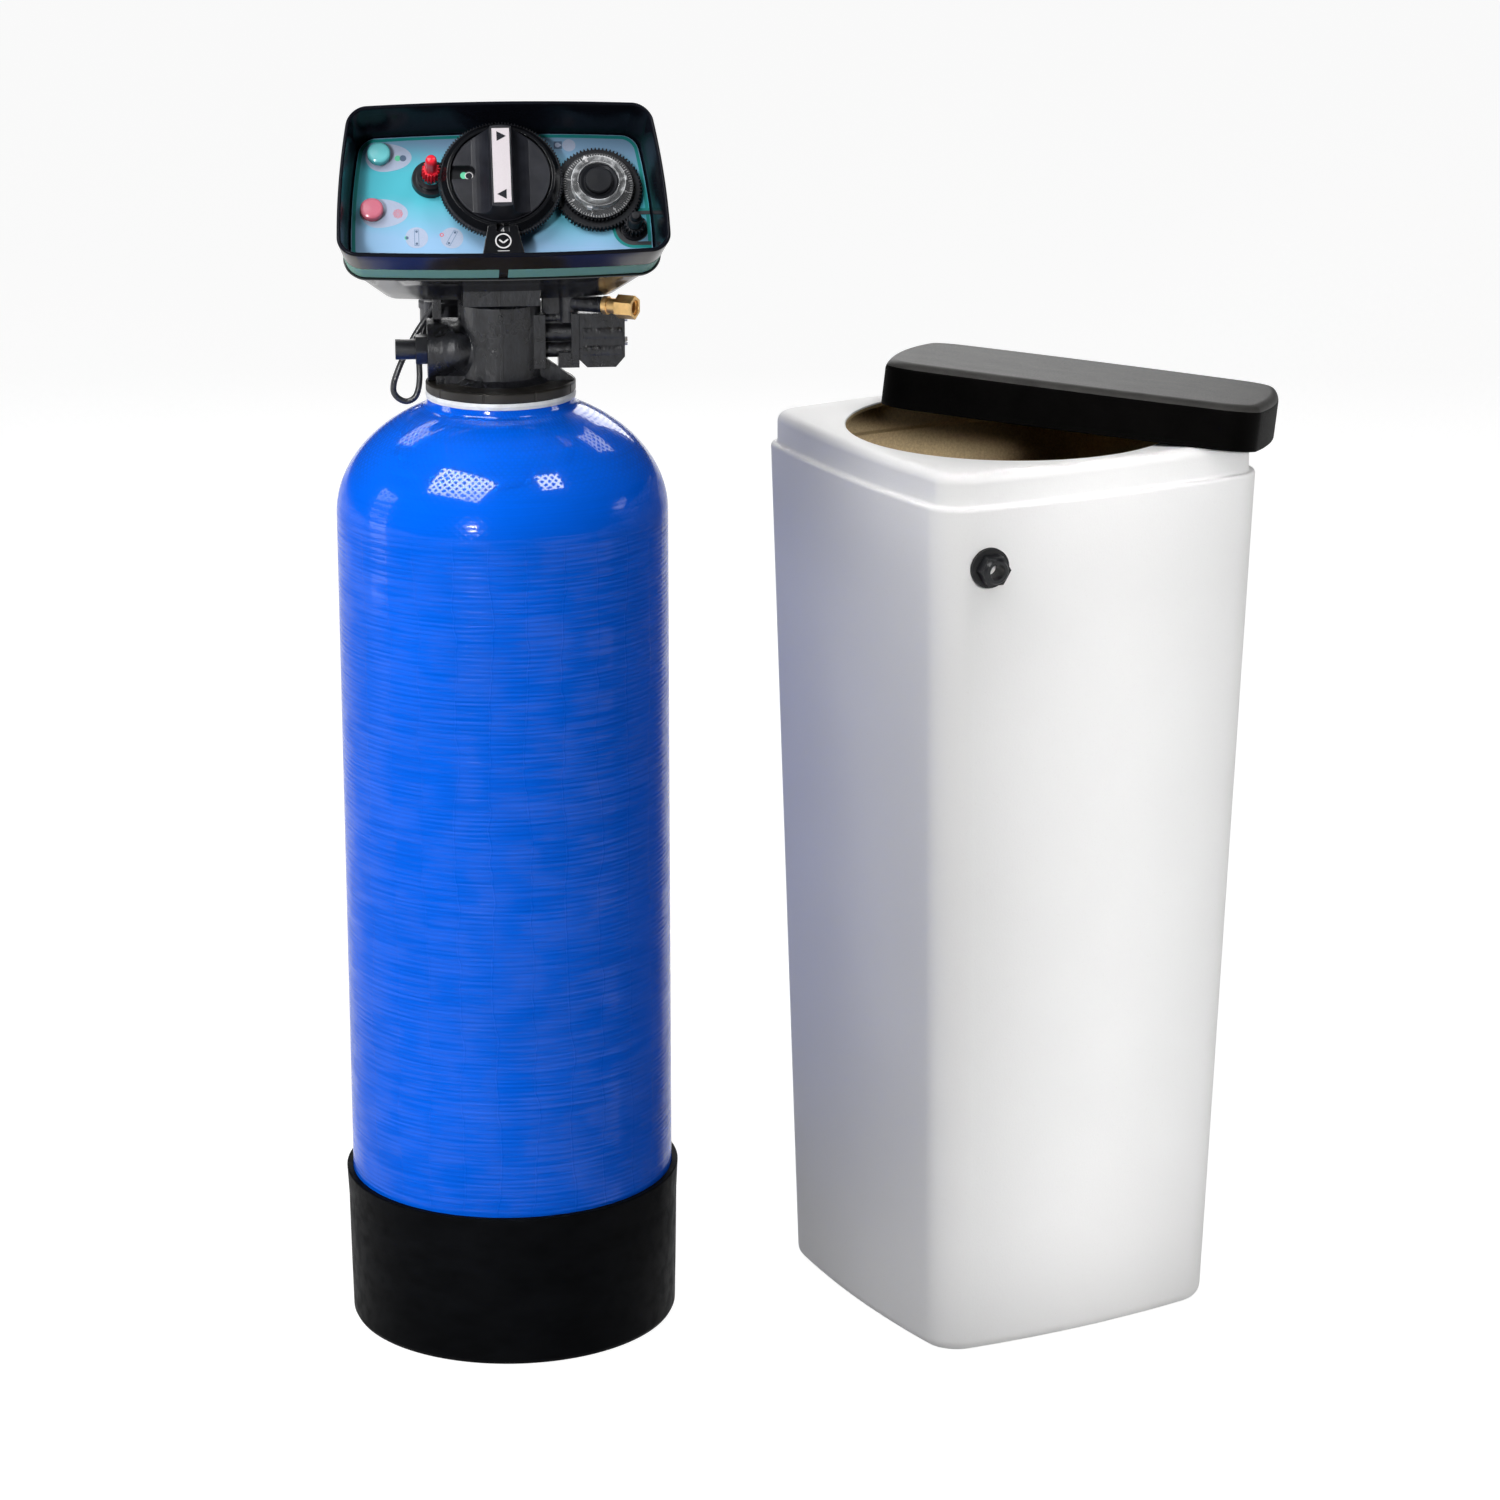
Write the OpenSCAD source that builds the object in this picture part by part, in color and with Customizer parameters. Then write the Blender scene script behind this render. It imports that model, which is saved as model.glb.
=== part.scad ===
// Water softener: a wound resin vessel with a clock-driven control valve on top,
// beside a brine tank whose lid lies askew over its round mouth.
// Millimetres. Z is up from the floor, the vessel's axis is Z and the head faces -Y.

/* [Resin vessel] */
// Outside diameter of the vessel
vessel_d = 257; // [240:1:290]
// Height of the top of the neck ring above the floor
neck_h = 759; // [660:1:1000]
// Thickness of the vessel's wall
vessel_wall = 5; // [3:0.5:7]
// Rise of the upper dome over its straight wall
dome_rise = 95; // [80:1:115]
// Rise of the lower dome
foot_rise = 70; // [55:1:80]
// Height of the base boot
boot_h = 125; // [90:1:170]
// Thickness of the boot's wall
boot_wall = 3.5; // [2.5:0.5:6]
// Diameter of the riser tube
riser_d = 27; // [20:0.5:30]
// Depth of the resin bed's top below the neck ring
resin_drop = 300; // [150:5:450]

/* [Control valve] */
// Diameter of the upright valve barrel
barrel_d = 64; // [62:1:70]
// Height of the valve barrel
barrel_h = 65; // [64:1:78]
// Thickness of the adapter ring on the neck
adapter_h = 8; // [6:0.5:14]
// Diameter of the meter elbow at the left
elbow_d = 48; // [44:1:52]
// Travel of the control piston
piston_travel = 23; // [10:1:24]
// Inside diameter of the inlet and outlet ports
port_d = 22; // [16:1:25]
// Turn of the valve and its head on the vessel, in degrees
valve_turn = 5; // [0:1:20]
// Diameter of the meter cable
cable_d = 4.8; // [3:0.2:5.2]

/* [Timer head] */
// Width of the head at its front edge
head_w = 236; // [234:1:256]
// Height of the head at its front edge
head_h = 120; // [119:1:136]
// Lean of the panel back from upright, in degrees
head_lean = 34; // [32:0.5:36]
// Depth of the panel behind the front edge
panel_recess = 44; // [36:1:54]
// Thickness of the covers
cover_wall = 3; // [2:0.25:3.5]
// Depth of the rear cover
rear_depth = 72; // [70:1:84]
// Diameter of the knob
knob_d = 74; // [66:0.2:75]
// Height of the knob's grip over its disc
grip_h = 18; // [10:0.5:24]
// Diameter of a push button
button_d = 17.4; // [12:0.2:18]
// Travel of a push button
button_travel = 2; // [1:0.25:3]
// Travel of the time-setting pinion when it is pushed in
time_travel = 7.4; // [5:0.2:7.4]

/* [Brine tank] */
// Width of the tank at its shoulder, before the bow of its sides
tank_w = 288; // [276:1:316]
// Width of the tank at the floor, before the bow of its sides
tank_foot_w = 252; // [235:1:275]
// Height of the tank's flat top
tank_h = 719; // [600:1:780]
// Outward bow of each side
tank_bow = 8.5; // [0:0.5:12]
// Corner radius of the tank
tank_corner = 24; // [18:1:40]
// Thickness of the tank's wall
tank_wall = 4; // [3:0.5:6]
// Width between the shoulder's side and the mouth
mouth_margin = 14.5; // [12:0.5:30]
// Height of the stepped band above the shoulder
band_h = 25; // [22:0.5:34]
// Turn of the tank on the floor, in degrees
tank_turn = 28; // [15:1:38]
// Clear space between the vessel and the tank's nearest corner
tank_gap = 83; // [50:1:140]
// Diameter of the brine well
well_d = 96; // [70:1:110]
// Height of the overflow fitting under the shoulder
overflow_drop = 46; // [36:1:90]

/* [Tank lid] */
// Height of the lid
lid_h = 36; // [30:1:50]
// Thickness of the lid's skirt
lid_wall = 4; // [3:0.5:5]
// Depth of the lid's skirt below its deck
skirt_depth = 24; // [14:1:24]
// Turn of the lid against the tank as it lies askew, in degrees
lid_turn = -38; // [-42:1:-34]

/* [Hidden] */
// Clearance of a shaft that turns in its hole
run = 0.05;
// Clearance between pieces that stay still
gap = 0.3;
// Points along a quarter corner and along a side of a bowed outline
corner_steps = 6;
side_steps = 8;
// A little over-length for cuts
over = 1;
$fn = 96;

// Vessel
vessel_r = vessel_d / 2;
inner_r = vessel_r - vessel_wall;
floor_wall = 4;
seat_z = 10;
neck_r = 57;
neck_bore = 48;
ring_h = 5;
collar_h = 8;
low_z = seat_z + foot_rise;
dome_z = neck_h - ring_h - collar_h - dome_rise * sqrt(1 - pow((neck_r + 5) / vessel_r, 2));
insert_bore = 35.3;
riser_r = riser_d / 2;
strainer_r = 26;
strainer_top = 60;
riser_foot = 24;
sieve_drop = 76;
spigot_drop = 36;
insert_drop = 44;
resin_top = neck_h - resin_drop;

// Valve
valve_z = neck_h + adapter_h;
barrel_r = barrel_d / 2;
barrel_top = valve_z + barrel_h;
cage_r = 24.2;
cage_z = valve_z + 6;
plug_h = 10;
piston_r = 14;
piston_h = 20;
piston_z = cage_z + 4;
rod_r = 4;
rod_play = 0.6;
yoke_w = 58;
yoke_front = -46;
yoke_back = 22;
yoke_h = 32;
yoke_play = 1;
yoke_cut = 52;
yoke_top = barrel_top + yoke_h;
rod_top = yoke_top + 6;
elbow_r = elbow_d / 2;
elbow_z = valve_z + 24;
elbow_end = -56;
port_r = port_d / 2;
port_end = 80;
port_depth = 30;
inlet_x = 26;
meter_x = -40;
meter_y = 56;
meter_r = 20;
meter_z = valve_z + 46;
nipple_x = -53;
nipple_y = 33;
drain_y = -4;
drain_z = valve_z + 25;
drain_bore = 5;
drain_hex_r = 12;
drain_hex_l = 9;
drain_nut_r = 7.8;
drain_nut_l = 15.5;
side_y = -8;
pad_x = 34;
flange_x = 60;
cover_end = 97;
low_barrel_z = valve_z + 24;
mid_barrel_z = valve_z + 37.5;
top_barrel_z = valve_z + 49.5;
injector_foot = valve_z + 11;
injector_head = valve_z + 53;
brine_x = 52;
brine_foot = top_barrel_z + 4.5;
brine_rise = 60.6;
brine_reach = 68;
brine_z = valve_z + brine_rise;
brine_top = valve_z + brine_reach;
brine_turn = -30;
fitting_at = 31;
nut_at = 43;
nut_end = 57.5;
tube_r = 4.9;

// Head: local X to the right, Y up the panel, Z out of the panel, from the panel's centre
seam_z = -4;
front_z = panel_recess;
head_pos = [0, -55, yoke_top + 49];
head_key = 0.048;
front_a = head_w / 2;
front_b = head_h / 2;
seam_a = front_a - 6.5;
seam_b = front_b - 3.3;
head_bow = 3;
head_corner = 14;
panel_t = 2;
panel_play = 0.6;
panel_a = seam_a - cover_wall - panel_play;
panel_b = seam_b - cover_wall - panel_play;
plate_t = 4;
plate_z = -panel_t - plate_t;
rear_z = seam_z - rear_depth;
lip_t = 3;
lip_out = 2;
rear_a = 88;
rear_b = 40;
rear_lift = -5;
knob_pos = [0, 10.5];
knob_r = knob_d / 2;
spindle_r = 5;
boss_r = 9;
shoulder_r = 11;
day_z = 13.5;
day_t = 5;
day_teeth = 120;
day_module = 0.77;
day_pitch_r = day_teeth * day_module / 2;
time_teeth = 16;
time_pitch_r = time_teeth * day_module / 2;
mesh_play = 0.1;
time_angle = 171;
time_pos = knob_pos + (day_pitch_r + time_pitch_r + mesh_play) * [cos(time_angle), sin(time_angle)];
time_shaft_r = 2.2;
time_foot = 9;
disc_z = day_z + day_t + gap;
disc_t = 0.8;
ring_z = day_z + day_t + 0.5;
ring_t = 6;
ring_in = 38.2;
ring_out = 44.4;
knob_z = disc_z + disc_t + gap;
knob_t = 5.2;
grip_z = knob_z + knob_t;
grip_top = grip_z + grip_h;
wheel_pos = [73, 7.6];
wheel_pin_r = 3;
wheel_z = 1.5;
wheel_t = 4.5;
wheel_teeth = 72;
wheel_module = 0.91;
wheel_pitch_r = wheel_teeth * wheel_module / 2;
meter_teeth = 16;
meter_pitch_r = meter_teeth * wheel_module / 2;
meter_angle = -49;
meter_pos = wheel_pos + (wheel_pitch_r + meter_pitch_r + mesh_play) * [cos(meter_angle), sin(meter_angle)];
meter_shaft_r = 2;
meter_collar_r = 9.5;
rim_z = 6.6;
rim_t = 3;
rim_teeth = 60;
rim_module = 0.9;
dial_z = rim_z + rim_t;
dial_t = 1;
dial_r = 26.4;
hub_r = 7.5;
hub_top = dial_z + 7;
pointer_z = dial_z + dial_t + gap;
pointer_t = 1;
glass_out = 20.5;
glass_in = 15.2;
cap_r = 10.3;
glass_top = pointer_z + 9;
green_pos = [-90, 39];
red_pos = [-96.5, -6.5];
button_r = button_d / 2;
button_play = 0.4;
button_foot = 0.5 + button_travel;
button_top = 8.4;
stem_r = 3;
motor_pos = [62, 10];
motor_r = 24;
cheek_in = 26;
cheek_t = 5;
cheek_low = 42;
cheek_step = 30;
cheek_deep = 60;
spindle_way = 60;

// Brine tank, in its own turned frame
shoulder_z = tank_h - band_h;
shoulder_a = tank_w / 2;
foot_a = tank_foot_w / 2;
foot_round = 10;
band_step = 5;
band_a = shoulder_a - band_step;
top_round = 8;
mouth_r = shoulder_a - mouth_margin;
corner_reach = (shoulder_a - tank_corner) * sqrt(2) + tank_corner;
tank_x = vessel_r + tank_gap + corner_reach * cos(45 - tank_turn);
tank_y = 56;
well_r = well_d / 2;
well_at = [28, 28];
well_foot = tank_wall + gap;
well_drop = 60;
well_top = shoulder_z - well_drop;
well_hole_z = 40;
well_hole_r = 6;
cap_skirt = 12;
cap_deck = 3;
float_r = 24;
float_h = 60;
float_z = 60;
float_rod = 40;
overflow_inset = 37;
overflow_x = overflow_inset - shoulder_a;
overflow_z = shoulder_z - overflow_drop;
overflow_bore = 6;
washer_r = 15.5;

// Lid, in its own frame: Z up from the skirt's edge, front edge along X at the front
lid_play = 1.5;
lid_a = band_a + lid_play + lid_wall;
lid_corner = tank_corner + lid_play + lid_wall - 2;
lid_round = 8;
lid_at = [91, 38.5];
rest_edge = band_a + 0.5;
rest_front = [0.56 * band_a, -rest_edge];
rest_back = [-0.14 * band_a, rest_edge];
rest_corner = [band_a - 4.4, band_a - 20];
rest_line = rest_back - rest_front;
rest_side = rest_corner - rest_front;
contact_run = (rest_line.y * rest_side.x - rest_line.x * rest_side.y) / norm(rest_line);
lid_tilt = atan(skirt_depth / contact_run);
lid_lift = 0.6;

// Outline of a rounded rectangle with half sizes a and b, and points along its sides
function corner_arc(x, y, r, start) = [
    for (i = [0:corner_steps])
        [x + r * cos(start + 90 * i / corner_steps), y + r * sin(start + 90 * i / corner_steps)]
];
function along(p, q) = [for (i = [1:side_steps - 1]) p + (q - p) * i / side_steps];
function last(list) = list[len(list) - 1];
function rounded_box(a, b, r) =
    let (ne = corner_arc(a - r, b - r, r, 0), nw = corner_arc(r - a, b - r, r, 90),
         sw = corner_arc(r - a, r - b, r, 180), se = corner_arc(a - r, r - b, r, 270))
    concat(ne, along(last(ne), nw[0]), nw, along(last(nw), sw[0]),
           sw, along(last(sw), se[0]), se, along(last(se), ne[0]));
// The same outline with its sides bowed outward
function pillow(a, b, r, out) = [
    for (p = rounded_box(a, b, r))
        [p.x + out * p.x / a * (1 - pow(p.y / b, 2)), p.y + out * p.y / b * (1 - pow(p.x / a, 2))]
];
// The outline drawn in towards its upper edge
function keystone(outline) = [for (p = outline) [p.x * (1 - head_key * p.y / front_b), p.y]];
function at_z(outline, z, lift = 0) = [for (p = outline) [p.x, p.y + lift, z]];
// A circle whose points stand in the same directions as an outline's
function round_like(outline, r, z) = [for (p = outline) [r * p.x / norm(p), r * p.y / norm(p), z]];

// Skin over a list of equal rings: a solid with two ends, or a closed frame
module loft(rings, frame = false) {
    n = len(rings[0]);
    m = len(rings);
    spans = frame ? m - 1 : m - 2;
    sides = [
        for (i = [0:spans], j = [0:n - 1])
            let (k = (i + 1) % m, l = (j + 1) % n)
            each [[i * n + j, k * n + j, k * n + l], [i * n + j, k * n + l, i * n + l]]
    ];
    ends = frame ? [] : [[for (j = [0:n - 1]) j], [for (j = [0:n - 1]) m * n - 1 - j]];
    polyhedron(points = [for (ring = rings) each ring], faces = concat(sides, ends));
}

// Straight-flanked gear outline with a tooth on the X axis
function gear_outline(teeth, module_size) =
    let (pitch = 360 / teeth, r = teeth * module_size / 2,
         tip = r + 0.8 * module_size, root = r - 1.1 * module_size)
    [for (i = [0:teeth - 1], s = [[-0.3, 0], [-0.11, 1], [0.11, 1], [0.3, 0]])
        (s[1] == 1 ? tip : root) * [cos((i + s[0]) * pitch), sin((i + s[0]) * pitch)]];

module gear(teeth, module_size, thickness) {
    linear_extrude(thickness)
        polygon(gear_outline(teeth, module_size));
}

module ring(outer, inner, height) {
    difference() {
        cylinder(r = outer, h = height);
        translate([0, 0, -over])
            cylinder(r = inner, h = height + 2 * over);
    }
}

// Cylinders along +X, -X and +Y
module rod_right(r, length) {
    rotate([0, 90, 0])
        cylinder(r = r, h = length);
}

module rod_left(r, length) {
    rotate([0, -90, 0])
        cylinder(r = r, h = length);
}

module rod_back(r, length) {
    rotate([-90, 0, 0])
        cylinder(r = r, h = length);
}

module turned() {
    rotate(valve_turn)
        children();
}

module in_head() {
    turned()
        translate(head_pos)
            rotate([90 - head_lean, 0, 0])
                children();
}

module in_brine() {
    turned()
        translate([brine_x, side_y, brine_z])
            rotate(brine_turn)
                children();
}

module on_panel(pos, z = 0) {
    translate([pos.x, pos.y, z])
        children();
}

module in_tank() {
    translate([tank_x, tank_y, 0])
        rotate(tank_turn)
            children();
}

// Quarter-ellipse runs of the vessel's profile
function dome_run(r, rise, z, stop) =
    let (last_angle = acos(stop / r))
    [for (i = [0:12]) [r * cos(last_angle * i / 12), z + rise * sin(last_angle * i / 12)]];
function foot_run(r, rise, z) = [for (i = [0:10]) [r * sin(9 * i), z - rise * cos(9 * i)]];

module vessel_shell() {
    outer_top = dome_run(vessel_r, dome_rise, dome_z, neck_r + 5);
    inner_top = dome_run(inner_r, dome_rise - vessel_wall, dome_z, neck_bore);
    inner_foot = foot_run(inner_r, foot_rise - vessel_wall, low_z);
    top = neck_h - ring_h;
    collar_z = last(outer_top).y;
    color("royalblue")
        rotate_extrude()
            polygon(concat(
                foot_run(vessel_r, foot_rise, low_z), outer_top,
                [[neck_r + 2, collar_z + 2], [neck_r + 0.5, collar_z + 4.5], [neck_r, top]],
                [[neck_bore, top]],
                [for (i = [12:-1:0]) inner_top[i]],
                [for (i = [10:-1:0]) inner_foot[i]]));
}

module base_boot() {
    out = vessel_r + gap + boot_wall;
    seat_r = 60;
    seat_top = low_z - foot_rise * sqrt(1 - pow(seat_r / vessel_r, 2)) - 0.2;
    color("black")
        rotate_extrude()
            polygon([
                [0, 0], [out - 6, 0], [out - 3, 1.2], [out - 1.6, 4],
                [out - 0.8, boot_h * 0.35], [out, boot_h * 0.8], [out + 1.2, boot_h - 1], [out + 0.4, boot_h],
                [vessel_r + gap, boot_h], [vessel_r + gap, low_z - 8],
                [out - boot_wall - 2, floor_wall + 3], [out - boot_wall - 6, floor_wall],
                [seat_r, floor_wall], [seat_r, seat_top],
                [seat_r - 4, seat_top - 4 * seat_r / vessel_r * foot_rise / vessel_r - 0.3],
                [seat_r - 4, floor_wall], [0, floor_wall]
            ]);
}

module neck_insert() {
    sleeve = neck_bore - gap;
    color("white")
        rotate_extrude()
            polygon([
                [insert_bore, neck_h - insert_drop], [sleeve, neck_h - insert_drop],
                [sleeve, neck_h - ring_h],
                [neck_r + 0.6, neck_h - ring_h], [neck_r + 1, neck_h - ring_h / 2],
                [neck_r + 0.4, neck_h], [insert_bore, neck_h]
            ]);
}

module resin_bed() {
    bed = foot_run(inner_r - gap, foot_rise - vessel_wall - gap, low_z);
    edge = strainer_r + gap;
    foot_edge = low_z - (foot_rise - vessel_wall - gap) * sqrt(1 - pow(edge / (inner_r - gap), 2));
    hole = riser_r + gap;
    color("goldenrod")
        rotate_extrude()
            polygon(concat(
                [[edge, foot_edge]],
                [for (i = [2:10]) bed[i]],
                [[inner_r - gap, resin_top], [hole, resin_top], [hole, strainer_top + gap]],
                [[edge, strainer_top + gap]]));
}

module riser_tube() {
    color("ivory")
        translate([0, 0, riser_foot])
            ring(riser_r, riser_r - 2.5, valve_z + 3 - riser_foot);
}

module lower_strainer() {
    foot = low_z - (foot_rise - vessel_wall) * sqrt(1 - pow((strainer_r - 2) / inner_r, 2)) + gap;
    color("dimgray")
        difference() {
            translate([0, 0, foot])
                cylinder(r1 = strainer_r - 2, r2 = strainer_r, h = strainer_top - foot);
            translate([0, 0, riser_foot])
                cylinder(r = riser_r + 0.1, h = strainer_top);
            for (z = [foot + 8:6:strainer_top - 8])
                translate([0, 0, z])
                    ring(strainer_r + over, strainer_r - 4, 2);
        }
}

module upper_strainer() {
    top = neck_h - spigot_drop;
    color("dimgray")
        translate([0, 0, neck_h - sieve_drop])
            difference() {
                cylinder(r1 = riser_r + 5, r2 = 30, h = top - neck_h + sieve_drop);
                translate([0, 0, -over])
                    cylinder(r = riser_r + 0.1, h = sieve_drop);
            }
}

module adapter_base() {
    color("black")
        difference() {
            rotate_extrude()
                polygon([
                    [riser_r + 0.2, neck_h - spigot_drop], [insert_bore - gap, neck_h - spigot_drop],
                    [insert_bore - gap, neck_h], [neck_r, neck_h], [neck_r + 0.8, neck_h + 1],
                    [neck_r + 0.8, valve_z - 1.2], [neck_r - 0.4, valve_z], [riser_r + 0.2, valve_z]
                ]);
            for (turn = [20:40:340])
                rotate(turn)
                    translate([neck_r + 1.8, 0, neck_h - over])
                        cylinder(r = 1.6, h = adapter_h + 2 * over);
        }
}

module valve_body() {
    color("black") turned()
        difference() {
            union() {
                translate([0, 0, valve_z])
                    cylinder(r = barrel_r, h = barrel_h - 5);
                translate([0, 0, barrel_top - 5])
                    cylinder(r1 = barrel_r, r2 = barrel_r - 4, h = 5);
                translate([0, 0, valve_z])
                    cylinder(r1 = barrel_r + 6, r2 = barrel_r, h = 4);
                translate([-1, -barrel_r - 0.9, valve_z + 4])
                    cube([2, 4, barrel_h - 14]);
                translate([0, 0, elbow_z])
                    rod_left(elbow_r, -elbow_end);
                translate([elbow_end + 22, -7, elbow_z + 2])
                    sphere(r = elbow_r - 4);
                translate([elbow_end + 6, -16, valve_z])
                    cube([30, 30, 8]);
                translate([meter_x, meter_y, elbow_z - elbow_r + 4])
                    cylinder(r = meter_r, h = meter_z - elbow_z + elbow_r - 4);
                translate([meter_x, 10, elbow_z])
                    rod_back(port_r + 4, port_end - 10);
                translate([inlet_x, 10, elbow_z])
                    rod_back(port_r + 4, port_end - 10);
                translate([barrel_r - 14, side_y - 12, injector_foot])
                    cube([pad_x - barrel_r + 14, 24, injector_head - injector_foot]);
                translate([0, side_y + 3, 0])
                    rotate([90, 0, 0])
                        linear_extrude(6)
                            polygon([
                                [barrel_r - 6, valve_z + 24], [barrel_r + 2, valve_z + 18],
                                [neck_r - 1, valve_z + 1.5], [neck_r - 1, valve_z], [barrel_r - 6, valve_z]
                            ]);
            }
            translate([0, 0, valve_z - over])
                cylinder(r = riser_r + 0.2, h = barrel_h);
            translate([0, 0, cage_z])
                cylinder(r = cage_r, h = barrel_h);
            for (x = [meter_x, inlet_x])
                translate([x, port_end - port_depth, elbow_z])
                    rod_back(port_r, port_depth + over);
            translate([elbow_end + 14, drain_y, drain_z])
                rod_left(drain_bore, 14 + over);
        }
}

module seal_cage() {
    top = barrel_top - plug_h - gap;
    bore = piston_r + gap;
    color("white")
        difference() {
            translate([0, 0, cage_z + gap])
                ring(cage_r - 0.2, bore, top - cage_z - gap);
            for (z = [cage_z + 9:10:top - 8])
                translate([0, 0, z])
                    ring(bore + 4, bore - over, 4);
        }
}

module piston() {
    color("silver")
        rotate_extrude()
            polygon([
                [0, piston_z], [piston_r, piston_z], [piston_r, piston_z + 6],
                [piston_r - 4, piston_z + 8], [piston_r - 4, piston_z + piston_h - 8],
                [piston_r, piston_z + piston_h - 6], [piston_r, piston_z + piston_h],
                [rod_r, piston_z + piston_h], [rod_r, rod_top], [0, rod_top]
            ]);
}

module end_plug() {
    color("dimgray")
        translate([0, 0, barrel_top - plug_h])
            ring(cage_r - 0.2, rod_r + run, plug_h);
}

module yoke_block() {
    color("black") turned()
        difference() {
            translate([-yoke_w / 2, yoke_front, barrel_top])
                cube([yoke_w, yoke_back - yoke_front, yoke_h]);
            translate([0, 0, barrel_top - over])
                cylinder(r = rod_r + rod_play, h = yoke_h + 2 * over);
            translate([-1, yoke_front - over, barrel_top - over])
                cube([2, over + 0.8, yoke_h + 2 * over]);
            for (x = [-24, 24])
                translate([x, yoke_front + 8, barrel_top + 6])
                    cylinder(r = 2.2, h = yoke_h);
        }
}

module meter_dome() {
    color("dimgray") turned() {
        translate([meter_x, meter_y, meter_z])
            rotate_extrude()
                polygon([
                    [0, 0], [meter_r + 1, 0], [meter_r + 1, 5], [meter_r - 0.5, 6], [meter_r - 0.5, 9],
                    [meter_r - 3, 13], [meter_r - 8, 15.5], [0, 16]
                ]);
        translate([nipple_x, nipple_y, meter_z])
            cylinder(r = 4.2, h = 9);
        translate([nipple_x - 1, nipple_y, meter_z])
            cube([5, 8, 5]);
    }
}

// Points of the meter cable from the gland to the meter, as it hangs
gland_at = [-40, -28, rear_z - 2];
cable_start = head_pos + [gland_at.x, -gland_at.z * cos(head_lean) + gland_at.y * sin(head_lean),
    gland_at.z * sin(head_lean) + gland_at.y * cos(head_lean)];
cable_route = [
    cable_start, cable_start + [0, 4, -2.7], cable_start + [-1, 11, -9], cable_start + [-4, 18, -18],
    [-48, 15, valve_z + 57], [-55, 18, valve_z + 46], [-62, 18, valve_z + 36], [-68, 17, valve_z + 26],
    [-74, 15, valve_z + 15], [-79, 13, valve_z + 4], [-82, 12, valve_z - 5], [-82, 12, valve_z - 12],
    [-78, 12, valve_z - 17], [-72, 12, valve_z - 19], [-66, 12, valve_z - 16], [-63, 13, valve_z - 9],
    [-62, 14, valve_z], [-62, 17, valve_z + 10], [-61, 21, valve_z + 19], [-59, 26, valve_z + 28],
    [-56, 31, valve_z + 37], [nipple_x, nipple_y, meter_z - 3], [nipple_x, nipple_y, meter_z - 0.6]
];
cable_fine = 3;
function spline(a, b, c, d, t) = 0.5 * (2 * b + (c - a) * t + (2 * a - 5 * b + 4 * c - d) * t * t
    + (3 * b - a - 3 * c + d) * t * t * t);
function unit(v) = v / norm(v);
cable_last = len(cable_route) - 1;
cable_path = concat(
    [for (i = [0:cable_last - 1], j = [0:cable_fine - 1])
        spline(cable_route[max(i - 1, 0)], cable_route[i], cable_route[i + 1],
               cable_route[min(i + 2, cable_last)], j / cable_fine)],
    [cable_route[cable_last]]);
function cable_way(i) = unit(cable_path[min(i + 1, len(cable_path) - 1)] - cable_path[max(i - 1, 0)]);

module meter_cable() {
    sides = 8;
    color("dimgray") turned()
        loft([
            for (i = [0:len(cable_path) - 1])
                let (way = cable_way(i), u = unit(cross(cross(way, [0, 1, 0.05]), way)), v = cross(way, u))
                [for (k = [0:sides - 1])
                    cable_path[i] + cable_d / 2 * (cos(360 * k / sides) * u + sin(360 * k / sides) * v)]
        ]);
}

module cable_gland() {
    color("black")
        in_head()
            translate(gland_at)
                ring(4.6, cable_d / 2 + 0.2, 2);
}

module support_strap() {
    strap_x = elbow_end + 8;
    strap_foot = elbow_z + elbow_r;
    color("black") turned() {
        translate([strap_x - 3.3, -5, strap_foot])
            cube([6.6, 10, barrel_top + 6 - strap_foot]);
        translate([strap_x - 10, 0, barrel_top + 6])
            rod_right(5.5, 14);
    }
}

module drain_hex() {
    color("black") turned()
        translate([elbow_end, drain_y, drain_z])
            difference() {
                rod_left(drain_hex_r, drain_hex_l);
                translate([over, 0, 0])
                    rod_left(drain_bore, drain_hex_l + 2 * over);
                for (k = [0:5])
                    rotate([60 * k, 0, 0])
                        translate([-drain_hex_l - over, -20, drain_hex_r * 0.88])
                            cube([drain_hex_l + 2 * over, 40, 6]);
            }
}

module drain_nut() {
    color("black") turned()
        translate([elbow_end - drain_hex_l, drain_y, drain_z])
            difference() {
                rod_left(drain_nut_r, drain_nut_l);
                translate([over, 0, 0])
                    rod_left(drain_bore, drain_nut_l + 2 * over);
                translate([-drain_nut_l - over, -1.3, -10])
                    cube([4 + over, 2.6, 20]);
            }
}

module injector_body() {
    color("black") turned()
        difference() {
            union() {
                translate([pad_x, side_y, top_barrel_z])
                    rod_right(4.2, flange_x - pad_x);
                translate([pad_x, side_y, mid_barrel_z])
                    rod_right(7.2, flange_x - pad_x);
                translate([pad_x, side_y, low_barrel_z])
                    rod_right(6.2, flange_x - pad_x);
                translate([pad_x, side_y - 2, low_barrel_z])
                    cube([flange_x - pad_x, 10, top_barrel_z - low_barrel_z]);
                translate([flange_x - 16, side_y - 9, injector_foot])
                    cube([16, 18, 12]);
                translate([flange_x - 6, side_y - 10, injector_foot + 3])
                    cube([6, 20, injector_head - injector_foot - 3]);
                translate([brine_x, side_y, top_barrel_z - 4])
                    cylinder(r = 7.6, h = brine_foot - top_barrel_z + 4);
            }
            for (z = [injector_foot + 18.5, injector_head - 5])
                translate([flange_x - 10, side_y, z])
                    rod_right(1.9, 12);
        }
}

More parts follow.
